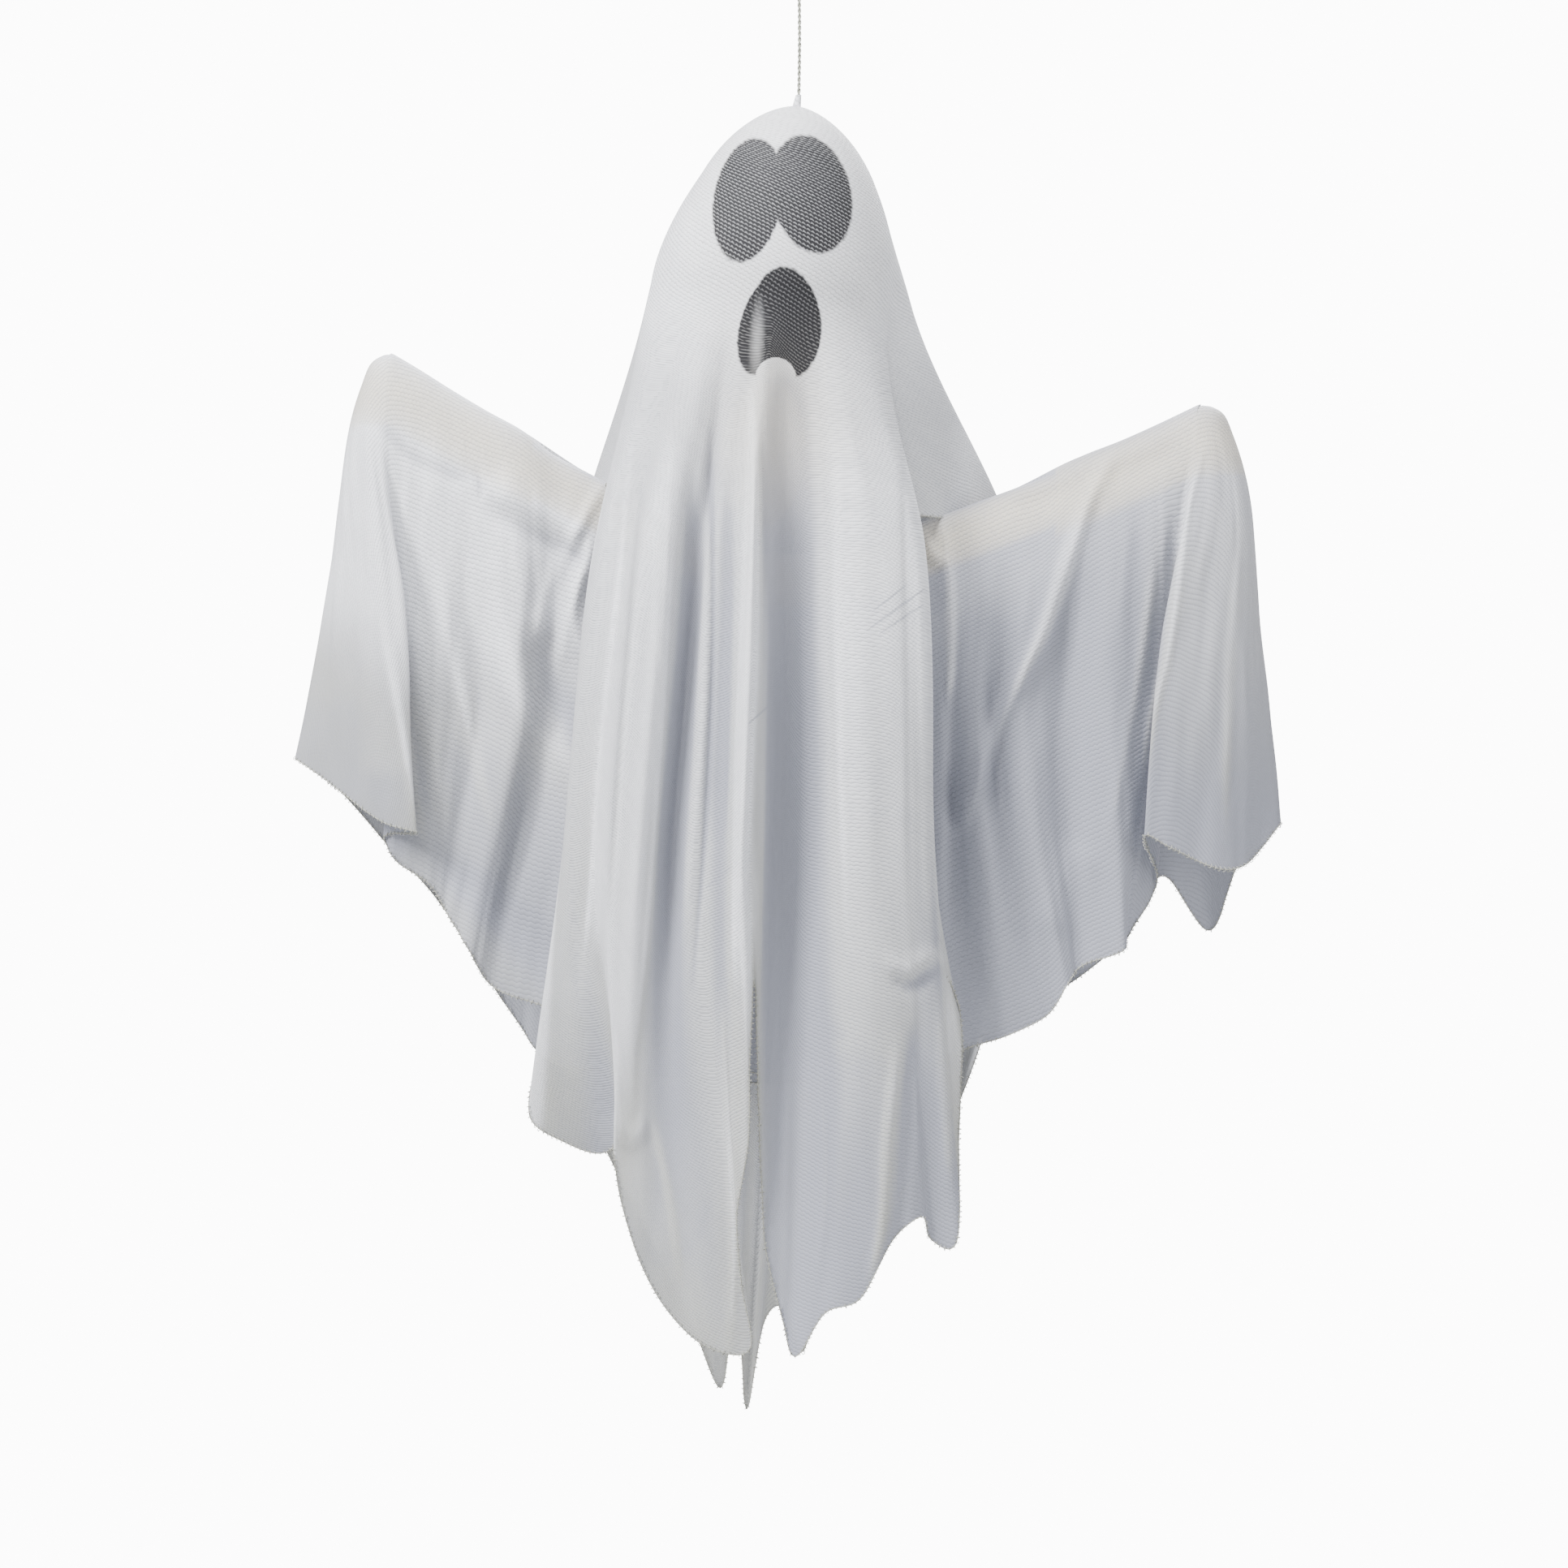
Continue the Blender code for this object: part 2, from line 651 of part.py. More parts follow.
def make_string(parts, finish):
    """The free run of the string, from the crown up to the knot."""
    low = Vector((0.0, 0.0, lean_axis(stem_top_drop).z + wire_clearance))
    high = Vector((0.0, 0.0, knot_height() - knot_diameter / 2 - wire_clearance))
    points = []
    for step in range(STRING_STEPS + 1):
        share = step / STRING_STEPS
        bow = Vector((string_bow * math.sin(math.pi * share), 0.0, 0.0))
        points.append(low.lerp(high, share) + bow)
    item = tube_curve("string line", points, string_diameter, 2, parts)
    return solid_from(item, "hanging_string", parts, finish)


def knot_height():
    """Height of the knot's middle: the loop hangs from the origin."""
    return string_diameter - loop_length - knot_diameter / 3


def make_loop(parts, finish):
    """The knot and the loop above it, one piece."""
    bottom = knot_height()
    steps = 18
    points = []
    for step in range(steps):
        turn = 2 * math.pi * step / steps
        narrow = 0.5 + 0.5 * math.cos(turn)
        width = loop_width / 2 * math.sin(turn) * (0.35 + 0.65 * narrow)
        height = bottom - string_diameter / 2 * math.cos(turn)
        height += (string_diameter - bottom) * narrow
        points.append(Vector((width, 0.0, height)))
    item = tube_curve("loop line", points, string_diameter, 1, parts, cyclic=True)
    loop = solid_from(item, "hang_loop", parts, finish)
    bpy.ops.mesh.primitive_uv_sphere_add(segments=10, ring_count=6, radius=knot_diameter / 2,
                                         location=(0.0, 0.0, bottom))
    join_solids(loop, [bpy.context.active_object])
    return loop


def make_print(name, outline, cloth, parts, finish):
    """A thin film of ink that lies on the front of the head cloth inside an outline."""
    corners = [from_crown(x, 0.0, z) for x, z in outline]
    rim = smooth_loop(corners, 2)
    middle = sum(rim, Vector()) / len(rim)
    shape = bmesh.new()
    loops = []
    for share in PRINT_RINGS:
        loops.append([shape.verts.new(middle.lerp(point, share)) for point in rim])
    hub = shape.verts.new(middle)
    for index in range(len(rim)):
        after = (index + 1) % len(rim)
        shape.faces.new((hub, loops[0][index], loops[0][after]))
        for inner, outer in zip(loops, loops[1:]):
            shape.faces.new((inner[index], outer[index], outer[after], inner[after]))
    front = Vector((0.0, -1.0, 0.0))
    for spot in shape.verts:
        hit = cloth.ray_cast(spot.co + front, -front)
        spot.co = hit[0] + front * (print_gap + print_thickness / 2)
    bmesh.ops.recalc_face_normals(shape, faces=shape.faces)
    item = add_object(name, mesh_from_bmesh(name, shape), parts, finish)
    thicken(item, print_thickness)
    return item


def evaluated_tree(item):
    graph = bpy.context.evaluated_depsgraph_get()
    return BVHTree.FromObject(item, graph)


def build():
    clear_scene()
    parts = collection_named("hanging ghost")
    cutters = collection_named("cutters")
    foam = material("cream foam", (0.86, 0.80, 0.66), 0.9)
    steel = material("steel wire", (0.45, 0.45, 0.46), 0.35, 1.0)
    head_knit = material("white knit, head cloth", (0.84, 0.85, 0.88), 0.85)
    arm_knit = material("white knit, arm cloth", (0.82, 0.83, 0.87), 0.85)
    ink = material("black print", (0.025, 0.025, 0.03), 0.8)
    cord = material("grey green cord", (0.20, 0.22, 0.17), 0.8)
    shroud = add_object("shroud", shroud_sheet(), parts, head_knit)
    thicken(shroud, cloth_thickness)
    arm_cloth = add_object("arm_cloth", arm_cloth_sheet(), parts, arm_knit)
    thicken(arm_cloth, cloth_thickness)
    slit = make_cylinder("stem hole in the arm cloth", stem_diameter / 2 + hole_clearance,
                         stem_hole_depth, lean_axis(crown_to_arms() - stem_hole_depth / 2), cutters)
    cut_with(arm_cloth, "stem hole", slit)
    make_head(parts, foam)
    make_stem(parts, steel)
    make_arm_wire(parts, steel)
    make_torso(cutters, parts, foam)
    left_tip, left_elbow, left_shoulder = (x * MM for x, z in ARM_LINE[:3])
    right_tip, right_elbow, right_shoulder = (x * MM for x, z in reversed(ARM_LINE[-3:]))
    make_pad("left_forearm_pad", left_tip, left_elbow - pad_gap, forearm_radius,
             cutters, parts, foam)
    make_pad("left_upper_arm_pad", left_elbow + pad_gap, left_shoulder, upper_arm_radius,
             cutters, parts, foam)
    make_pad("right_upper_arm_pad", right_shoulder, right_elbow - pad_gap, upper_arm_radius,
             cutters, parts, foam)
    make_pad("right_forearm_pad", right_elbow + pad_gap, right_tip, forearm_radius,
             cutters, parts, foam)
    make_string(parts, cord)
    make_loop(parts, cord)
    cloth = evaluated_tree(shroud)
    make_print("left_eye_print", LEFT_EYE, cloth, parts, ink)
    make_print("right_eye_print", RIGHT_EYE, cloth, parts, ink)
    make_print("mouth_print", MOUTH, cloth, parts, ink)


build()
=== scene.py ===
"""Looks of a hanging ghost: two sheer knit cloths over a foam figure, printed face, string.

Laid out as a Blender add-on with a panel of operators, and run as a script.
"""
import math

import bmesh
import bpy
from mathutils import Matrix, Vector, noise


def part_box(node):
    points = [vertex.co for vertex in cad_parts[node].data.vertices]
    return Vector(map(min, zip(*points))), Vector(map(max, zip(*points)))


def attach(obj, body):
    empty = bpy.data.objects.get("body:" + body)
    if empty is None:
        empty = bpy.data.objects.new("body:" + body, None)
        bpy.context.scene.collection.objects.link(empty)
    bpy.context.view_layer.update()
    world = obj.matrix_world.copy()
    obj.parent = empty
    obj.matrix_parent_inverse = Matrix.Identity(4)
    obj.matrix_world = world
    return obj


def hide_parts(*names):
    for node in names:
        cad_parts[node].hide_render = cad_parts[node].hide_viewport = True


bl_info = {
    "name": "Hanging Ghost",
    "version": (1, 0, 0),
    "blender": (4, 5, 0),
    "location": "View3D > Sidebar > Ghost",
    "description": "Drapes the cloths of a hanging ghost and paints its materials",
    "category": "Object",
}

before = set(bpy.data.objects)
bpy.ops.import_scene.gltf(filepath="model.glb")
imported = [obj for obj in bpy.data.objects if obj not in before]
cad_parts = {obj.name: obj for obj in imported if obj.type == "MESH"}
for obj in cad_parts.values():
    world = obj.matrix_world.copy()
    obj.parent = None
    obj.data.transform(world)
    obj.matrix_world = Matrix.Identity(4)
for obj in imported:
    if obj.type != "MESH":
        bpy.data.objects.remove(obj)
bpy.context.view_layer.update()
MM = 0.001

# Sizes that the cloths share with the frame
CROWN_DROP = 68.0 * MM
LEAN_SHIFT = 0.3 * MM
LEAN_ANGLE = math.radians(5.5)
HEAD_RADIUS = 40.0 * MM
HEAD_TOP_DROP = 5.5 * MM
HEAD_MIDDLE_DROP = 64.0 * MM
HEAD_BOTTOM_DROP = 112.0 * MM
HEAD_POINT = 1.2
FLARE_DROP = 34.0 * MM
# How far the cloth stands out at the head's middle, and how steeply that grows
LEFT_FLARE = (6.8 * MM, 1.3)
RIGHT_FLARE = (3.5 * MM, 1.3)
BACK_FLARE = (6.5 * MM, 2.0)
FOREARM_RADIUS = 11.5 * MM
UPPER_ARM_RADIUS = 9.0 * MM
HOLE_EDGE = 1.1 * MM
# In millimetres, as the folds below are: the line of the arms, x and z below the crown, how far
# the forearm pads reach past the elbows, the cloth's gap, and its heights at chest and waist
ARM_LINE = [(-158.0, -117.0), (-116.0, -142.0), (-30.0, -186.0), (-5.0, -190.0),
            (20.0, -188.0), (112.0, -155.0), (157.0, -136.0)]
ELBOW_COVER = 12.0
CLOTH_GAP = 1.1
CHEST_HEIGHT = -180.0
WAIST_HEIGHT = -300.0
# The most that the arms' slope thickens the cloth's height over them
STEEPEST_ARM = 1.4
# The cloth's way over an arm, out and up as shares of the pad's radius
ARM_TOP = (0.0, 1.02)
TIP_TOP = (0.12, 1.02)
OVER_THE_ARM = [(0.4, 1.0), (0.8, 0.75), (1.1, 0.1)]

# Folds of the head cloth, crown to hem: angle on the head (0 right, 90 front), x and y at the
# chest, x and y at the waist, x, y and z on the hem. Millimetres, heights below the crown.
FRONT_FOLDS = [
    (8, 44, -29, 46, -29, 56, -30, -338),
    (16, 48, -35, 51, -35, 63, -34, -363),
    (24, 49, -40, 53, -40, 62, -38, -408),
    (32, 46, -46, 50, -46, 61, -40, -447),
    (39, 40, -50.5, 44, -51, 51, -40, -446),
    (46, 33, -53.5, 37, -54, 48, -44, -437),
    (53, 26, -55, 28, -56, 36, -50, -446),
    (59, 17, -53, 19, -53.5, 24, -52, -468),
    (65, 10, -47.5, 10.5, -47, 10, -50, -474),
    (70, 4, -43.5, 4, -43, -1, -47, -491),
    (75, -1, -42.5, -2, -41, -6, -45, -478),
    (80, -5.5, -43, -7, -41, -13, -46, -446),
    (84, -9, -46, -11, -44, -15, -48, -408),
    (88, -12, -51, -14.5, -51, -16, -50, -373),
    (92, -15, -56, -18, -57, -17, -52, -346),
    (95, -18, -58, -21.5, -59.5, -18.5, -54, -373),
    (98, -20.5, -55.5, -25, -56, -19.5, -54, -408),
    (101, -24, -50.5, -29, -51, -24, -53, -437),
    (105, -28, -48, -34, -49, -22, -52, -462),
    (109, -31.5, -47, -39, -48, -19, -50, -488),
    (113, -34.5, -45, -44, -46, -35, -50, -487),
    (118, -38, -42, -49, -42, -49, -49, -475),
    (123, -43, -46.5, -55, -47, -60, -48, -457),
    (128, -49, -51.5, -61, -52.5, -68, -48, -433),
    (133, -55, -53, -68, -54, -71, -49, -414),
    (138, -61, -52, -74, -53, -70.5, -47, -406),
    (143, -66, -50, -79, -50, -69.5, -42, -388),
    (148, -71, -47, -84, -46, -68, -37, -404),
    (153, -75, -44, -88, -43, -76, -34, -413),
    (158, -78, -40, -91, -40, -90, -35, -409),
    (163, -79.5, -36, -92, -36, -104, -38, -399),
    (168, -79, -32, -91, -32, -101.5, -33, -379),
    (173, -76, -28, -88, -28, -98, -31, -357),
]
BACK_FOLDS = [
    (188, -88, 29, -99, 31, -97, 31, -345),
    (198, -89, 35, -97, 38, -90, 35, -385),
    (210, -83, 40, -90, 43, -74, 38, -420),
    (222, -74, 42, -78, 40, -56, 38, -455),
    (234, -60, 42, -62, 48, -42, 40, -485),
    (246, -46, 47, -46, 42, -31, 40, -510),
    (256, -32, 44, -32, 49, -27, 43, -488),
    (266, -18, 49, -20, 44, -23.5, 44, -487),
    (275, -6, 45, -9, 51, -20.5, 47, -519),
    (284, 6, 50, 2, 44, -14, 46, -486),
    (294, 18, 46, 14, 51, -6, 49, -478),
    (302, 30, 51, 26, 45, 1.5, 46, -496),
    (310, 42, 45, 40, 50, 7, 48, -484),
    (320, 54, 45, 54, 44, 18, 43, -470),
    (332, 68, 40, 72, 42, 36, 42, -440),
    (343, 84, 36, 88, 37, 62, 36, -400),
    (352, 84, 30, 89, 32, 76, 32, -350),
]

# Folds of the arm cloth: where it leaves the arm (x, or a compass angle round a tip), x and y
# half way down, x, y and z on the hem
FRONT_ARM_FOLDS = [
    (140, 138, -17, 129, -17, -328), (126, 122, -25, 126, -22, -335),
    (110, 104, -15, 110, -16, -341), (96, 88, -23, 104, -20, -349),
    (84, 78, -16, 97, -17, -360), (72, 70, -21, 81, -20, -368),
    (62, 60, -16, 65.5, -16, -373), (52, 54, -20, 50, -20, -380),
    (36, 36, -16, 32, -17, -384), (16, 16, -20, 12, -20, -386),
    (-6, -8, -16, -8, -16, -384), (-28, -28, -20, -30, -20, -380),
    (-48, -48, -16, -50, -17, -374), (-62, -62, -21, -70, -18, -366),
    (-74, -72, -15, -88, -16, -360), (-84, -84, -22, -97, -18, -357),
    (-96, -98, -15, -119, -16, -349), (-108, -110, -24, -128, -20, -335),
    (-122, -124, -14, -136, -16, -322), (-136, -140, -17, -144, -15, -309),
    (-148, -152, -12, -157, -14, -300),
]
LEFT_TIP_FOLDS = [
    (-95, -158, -12, -161, -13, -290), (-113, -153, -26, -148, -28, -289),
    (-130, -164, -27, -161, -28, -285), (-150, -174, -19, -173, -22, -277),
    (-170, -181, -9, -185, -12, -268), (170, -183, 0, -197, -3, -260),
    (150, -178, 12, -181, 10, -272), (125, -166, 20, -161, 18, -295),
    (105, -155, 14, -147.5, 14, -309),
]
BACK_ARM_FOLDS = [
    (-146, -144, 20, -138.5, 18, -321), (-128, -130, 14, -128, 16, -338),
    (-108, -110, 22, -112, 20, -362), (-84, -86, 15, -98, 16, -379),
    (-60, -62, 21, -70, 20, -384), (-36, -36, 15, -40, 16, -386),
    (-12, -12, 20, -12, 20, -388), (12, 12, 15, 14, 16, -386),
    (36, 36, 20, 38, 20, -384), (60, 60, 15, 60, 16, -376),
    (84, 84, 21, 88, 20, -360), (106, 106, 15, 112, 16, -345),
    (126, 128, 22, 131, 20, -328), (144, 144, 16, 143.5, 16, -306),
]
RIGHT_TIP_FOLDS = [
    (80, 160, 22, 162, 20, -328), (55, 171, 18, 173, 14, -302),
    (25, 179, 8, 186, 6, -289), (-5, 181, -4, 188, -4, -286),
    (-30, 177, -14, 176, -14, -300), (-55, 167, -22, 164, -22, -303),
    (-75, 152, -26, 145, -27, -295), (-95, 141, -26, 134, -28, -290),
    (-110, 146, -11, 140, -11, -308),
]

# Mesh density
HEAD_ROWS = 28
HEAD_ARC = math.radians(108)
SHROUD_ROWS = 108
LEFT_SLIT = 31
RIGHT_SLIT = 35
ARM_ROWS = 76
STRIPS = 10
SIDE_STRIPS = 14
FRONT_COLUMNS = (len(FRONT_FOLDS) - 1) * STRIPS
BACK_START = FRONT_COLUMNS + SIDE_STRIPS
BACK_END = BACK_START + (len(BACK_FOLDS) - 1) * 2 * STRIPS
# Rows where the head cloth opens at its sides
LEFT_OPENING = HEAD_ROWS - 1 + LEFT_SLIT
RIGHT_OPENING = HEAD_ROWS - 1 + RIGHT_SLIT
# Columns of the arm cloth at the very ends of the arms
LEFT_END = (len(FRONT_ARM_FOLDS) + 5) * STRIPS
RIGHT_END = (len(FRONT_ARM_FOLDS) + len(LEFT_TIP_FOLDS) + len(BACK_ARM_FOLDS) + 3) * STRIPS

# Drawn creases: how far they act in half widths, where they end towards the middle plane, and the
# share of their length over which their ends fade
CREASE_REACH = 2.4
CREASE_FRONT = -2 * MM
LINE_FADE = 0.22
# How folds are found for their painted shade and highlights: columns to each side, how far behind
# its neighbours a full valley lies, and the distance from the middle plane where folds start and
# where they are full
FOLD_REACH = 24
FOLD_DEPTH = 11 * MM
FOLDS_START = 22 * MM
FOLDS_FULL = 36 * MM


class ClothSettings(bpy.types.PropertyGroup):
    """Finish of the knit that both cloths are cut from."""
    white: bpy.props.FloatVectorProperty(
        name="Knit White", description="Colour of the knit where it lies in layers",
        subtype="COLOR", size=3, min=0.0, max=1.0, default=(0.67, 0.68, 0.72))
    # The same knit drawn greyer and bluer on the arm cloth, as painted shade of its one hanging layer
    arm_shaded_white: bpy.props.FloatVectorProperty(
        name="Arm Cloth White", description="Colour of the arm cloth, which hangs in one layer",
        subtype="COLOR", size=3, min=0.0, max=1.0, default=(0.65, 0.66, 0.74))
    # Painted shade: the knit drawn greyer towards its hems; the hem thread takes this grey as its own
    # colour
    single: bpy.props.FloatVectorProperty(
        name="Single Layer", description="Greyer colour of one sheer layer near the hems",
        subtype="COLOR", size=3, min=0.0, max=1.0, default=(0.40, 0.40, 0.355))
    # Painted shade in the depth of the folds; the knit's random darker tone, the shade in its gaps and
    # its pulled threads blend towards it too
    shade: bpy.props.FloatVectorProperty(
        name="Fold Shade", description="Bluish tint in the depth of the folds",
        subtype="COLOR", size=3, min=0.0, max=1.0, default=(0.32, 0.33, 0.385))
    warm: bpy.props.FloatVectorProperty(
        name="Foam Showing Through", description="Tint where the cream foam shows through",
        subtype="COLOR", size=3, min=0.0, max=1.0, default=(0.70, 0.645, 0.53))
    # How far up from the hems the painted grey shade reaches
    hem_shade_reach: bpy.props.FloatProperty(
        name="Thin Reach", description="How far up from the hems the cloth looks thinner and greyer",
        default=150 * MM, min=5 * MM, max=400 * MM, unit="LENGTH")
    stitch: bpy.props.FloatProperty(
        name="Knit Pitch", description="Width of one knitted loop",
        default=1.9 * MM, min=0.5 * MM, max=5 * MM, unit="LENGTH")
    bias: bpy.props.FloatProperty(
        name="Knit Slant", description="Slant of the knit's lines across the front, in degrees",
        default=30.0, min=-90.0, max=90.0)
    arm_bias: bpy.props.FloatProperty(
        name="Arm Cloth Slant", description="Slant of the arm cloth's knit to the arms, in degrees",
        default=8.0, min=-90.0, max=90.0)
    # Painted highlight on the crests of the folds
    crest: bpy.props.FloatVectorProperty(
        name="Fold Crest", description="Bright colour of the knit on the crests of the folds",
        subtype="COLOR", size=3, min=0.0, max=1.0, default=(0.93, 0.94, 0.98))
    wrinkle: bpy.props.FloatProperty(
        name="Wrinkle Depth", description="Depth of the small wrinkles between the folds",
        default=1.1 * MM, min=0.0, max=5 * MM, unit="LENGTH")
    ink: bpy.props.FloatVectorProperty(
        name="Print", description="Colour of the printed face",
        subtype="COLOR", size=3, min=0.0, max=1.0, default=(0.020, 0.020, 0.022))


class HemSettings(bpy.types.PropertyGroup):
    """Overlocked edge of both cloths."""
    spacing: bpy.props.FloatProperty(
        name="Stitch Spacing", description="Distance between two overlock loops",
        default=2.0 * MM, min=0.5 * MM, max=10 * MM, unit="LENGTH")
    radius: bpy.props.FloatProperty(
        name="Stitch Radius", description="Radius of a loop round the edge",
        default=0.75 * MM, min=0.2 * MM, max=3 * MM, unit="LENGTH")
    thread: bpy.props.FloatProperty(
        name="Thread", description="Diameter of the overlock thread",
        default=0.3 * MM, min=0.05 * MM, max=1 * MM, unit="LENGTH")


class StringSettings(bpy.types.PropertyGroup):
    """The hanging string."""
    colour: bpy.props.FloatVectorProperty(
        name="String Colour", description="Grey green of the string",
        subtype="COLOR", size=3, min=0.0, max=1.0, default=(0.42, 0.43, 0.36))
    diameter: bpy.props.FloatProperty(
        name="Diameter", description="Diameter of the twisted string",
        default=1.5 * MM, min=0.5 * MM, max=5 * MM, unit="LENGTH")
    lay: bpy.props.FloatProperty(
        name="Twist Length", description="Length of one full turn of its two strands",
        default=4.5 * MM, min=1 * MM, max=20 * MM, unit="LENGTH")


class StageSettings(bpy.types.PropertyGroup):
    """Floor, light and camera."""
    floor_drop: bpy.props.FloatProperty(
        name="Floor Below Hook", description="How far the floor lies below the hook",
        default=1.35, min=0.6, max=3.0, unit="LENGTH")
    camera_distance: bpy.props.FloatProperty(
        name="Camera Distance", description="Distance from the camera to the figure",
        default=3.0, min=1.0, max=10.0, unit="LENGTH")
    frame_width: bpy.props.FloatProperty(
        name="Framed Width", description="Width that the picture takes in at the figure",
        default=0.6144, min=0.2, max=2.0, unit="LENGTH")


def settings(name):
    """One of the scene's groups of sizes and colours."""
    return getattr(bpy.context.scene, "ghost_" + name)


def clamped(value):
    """The value kept between 0 and 1."""
    return min(1.0, max(0.0, value))


def object_from(name, shape):
    """An object in the scene made from a bmesh, which is freed."""
    mesh = bpy.data.meshes.new(name)
    shape.to_mesh(mesh)
    shape.free()
    item = bpy.data.objects.new(name, mesh)
    bpy.context.scene.collection.objects.link(item)
    return item


def fill(tree, socket, value):
    """Link a node's input to another node, or give it a value."""
    if isinstance(value, bpy.types.NodeSocket):
        tree.links.new(value, socket)
    elif socket.type == "RGBA":
        socket.default_value = (*value, 1.0)
    else:
        socket.default_value = value


def add_node(tree, kind, inputs=None, **fields):
    """A node in a tree, with its fields set and its inputs filled."""
    node = tree.nodes.new(kind)
    for field, value in fields.items():
        setattr(node, field, value)
    for name, value in (inputs or {}).items():
        fill(tree, node.inputs[name], value)
    return node


def from_crown(x, y, z):
    """A place given in millimetres from the crown, in the frame."""
    return Vector((x * MM, y * MM, z * MM - CROWN_DROP))


def catmull(before, start, end, after, share):
    """A place on the smooth curve from start to end, with the points before and after them."""
    square = share * share
    cube = square * share
    return 0.5 * ((2 * start) + (end - before) * share
                  + (2 * before - 5 * start + 4 * end - after) * square
                  + (3 * start - before - 3 * end + after) * cube)


def smooth_points(points, steps):
    """Points on a smooth curve through the given ones, so many in each stretch."""
    chain = [points[0] * 2 - points[1], *points, points[-1] * 2 - points[-2]]
    result = []
    for index in range(1, len(chain) - 2):
        for step in range(steps):
            result.append(catmull(*chain[index - 1:index + 3], step / steps))
    result.append(points[-1])
    return result


def lean_axis(drop):
    """A place on the head's leaning axis, at a length along it below the crown."""
    return Vector((-LEAN_SHIFT - math.sin(LEAN_ANGLE) * drop, 0.0,
                   -CROWN_DROP - math.cos(LEAN_ANGLE) * drop))


def egg_profile(polar, grow):
    """Radius and drop of the head's outline at an angle from its top, grown by a clearance."""
    radius = (HEAD_RADIUS + grow) * math.sin(polar)
    if polar < math.pi / 2:
        radius = (HEAD_RADIUS + grow) * math.sin(polar) ** HEAD_POINT
        drop = HEAD_MIDDLE_DROP - (HEAD_MIDDLE_DROP - HEAD_TOP_DROP + grow) * math.cos(polar)
    else:
        drop = HEAD_MIDDLE_DROP - (HEAD_BOTTOM_DROP - HEAD_MIDDLE_DROP + grow) * math.cos(polar)
    return radius, drop


def slopes_of(stops):
    """Slope of a smooth curve through stops of falling height, at each of them."""
    secants = [(lower - upper) / (lower.z - upper.z) for upper, lower in zip(stops, stops[1:])]
    slopes = [secants[0]]
    for index in range(1, len(stops) - 1):
        above = stops[index - 1].z - stops[index].z
        below = stops[index].z - stops[index + 1].z
        slopes.append((secants[index - 1] * below + secants[index] * above) / (above + below))
    slopes.append(secants[-1])
    return slopes


def through_heights(stops, slopes, height):
    """The place on the smooth curve through the stops at a height."""
    index = 0
    while index < len(stops) - 2 and height < stops[index + 1].z:
        index += 1
    upper, lower = stops[index], stops[index + 1]
    span = lower.z - upper.z
    share = clamped((height - upper.z) / span)
    square = share * share
    cube = square * share
    return (upper * (2 * cube - 3 * square + 1) + slopes[index] * span * (cube - 2 * square + share)
            + lower * (3 * square - 2 * cube) + slopes[index + 1] * span * (cube - square))


def head_rows(angle, gap):
    """The head cloth's points from the crown to where it leaves the head."""
    turn = math.radians(angle)
    out = Vector((math.cos(turn), -math.sin(turn), 0.0))
    leaning = Vector((out.x * math.cos(LEAN_ANGLE), out.y, -out.x * math.sin(LEAN_ANGLE)))
    points = [out * HOLE_EDGE + Vector((0, 0, -CROWN_DROP))]
    flare, growth = LEFT_FLARE if out.x < 0 else RIGHT_FLARE
    if out.x > 0 and out.y > 0:
        flare, growth = BACK_FLARE
    for row in range(1, HEAD_ROWS):
        polar = HEAD_ARC * row / (HEAD_ROWS - 1)
        radius, drop = egg_profile(polar, gap)
        leave = max(0.0, drop - FLARE_DROP) / (HEAD_MIDDLE_DROP - FLARE_DROP)
        radius += flare * abs(out.x) ** 3 * leave ** growth
        points.append(lean_axis(drop) + leaning * max(radius, HOLE_EDGE + 0.3 * MM))
    return points


def shroud_rib(fold):
    """All points of one fold of the head cloth, crown to hem."""
    angle, chest_x, chest_y, waist_x, waist_y, hem_x, hem_y, hem_z = fold
    points = head_rows(angle, CLOTH_GAP * MM)
    stops = [points[-1], from_crown(chest_x, chest_y, CHEST_HEIGHT),
             from_crown(waist_x, waist_y, WAIST_HEIGHT), from_crown(hem_x, hem_y, hem_z)]
    slopes = slopes_of([points[-4], *stops])[1:]
    for row in range(1, SHROUD_ROWS + 1):
        height = stops[0].z + (stops[-1].z - stops[0].z) * row / SHROUD_ROWS
        points.append(through_heights(stops, slopes, height))
    return points


ARM_POINTS = smooth_points([from_crown(x, 0.0, z) for x, z in ARM_LINE], 4)


def arm_line_at(x):
    """The place on the smooth arm line at a distance x from the middle, in metres."""
    for left, right in zip(ARM_POINTS, ARM_POINTS[1:]):
        if left.x <= x <= right.x:
            return left.lerp(right, (x - left.x) / (right.x - left.x))
    return ARM_POINTS[0] if x < ARM_POINTS[0].x else ARM_POINTS[-1]


def arm_axis_at(x):
    """Height of the arm wire below the crown and the steepness there, at x from the middle."""
    here = arm_line_at(x * MM)
    run = arm_line_at(x * MM + MM) - arm_line_at(x * MM - MM)
    steep = run.length / max(abs(run.x), 0.1 * MM) if run.length > 0 else 1.0
    return (here.z + CROWN_DROP) / MM, min(steep, STEEPEST_ARM)


def pad_radius_at(x):
    """Radius of the pad on the arm there, in millimetres."""
    if x < ARM_LINE[1][0] + ELBOW_COVER or x > ARM_LINE[-2][0] - ELBOW_COVER:
        return FOREARM_RADIUS / MM
    return UPPER_ARM_RADIUS / MM


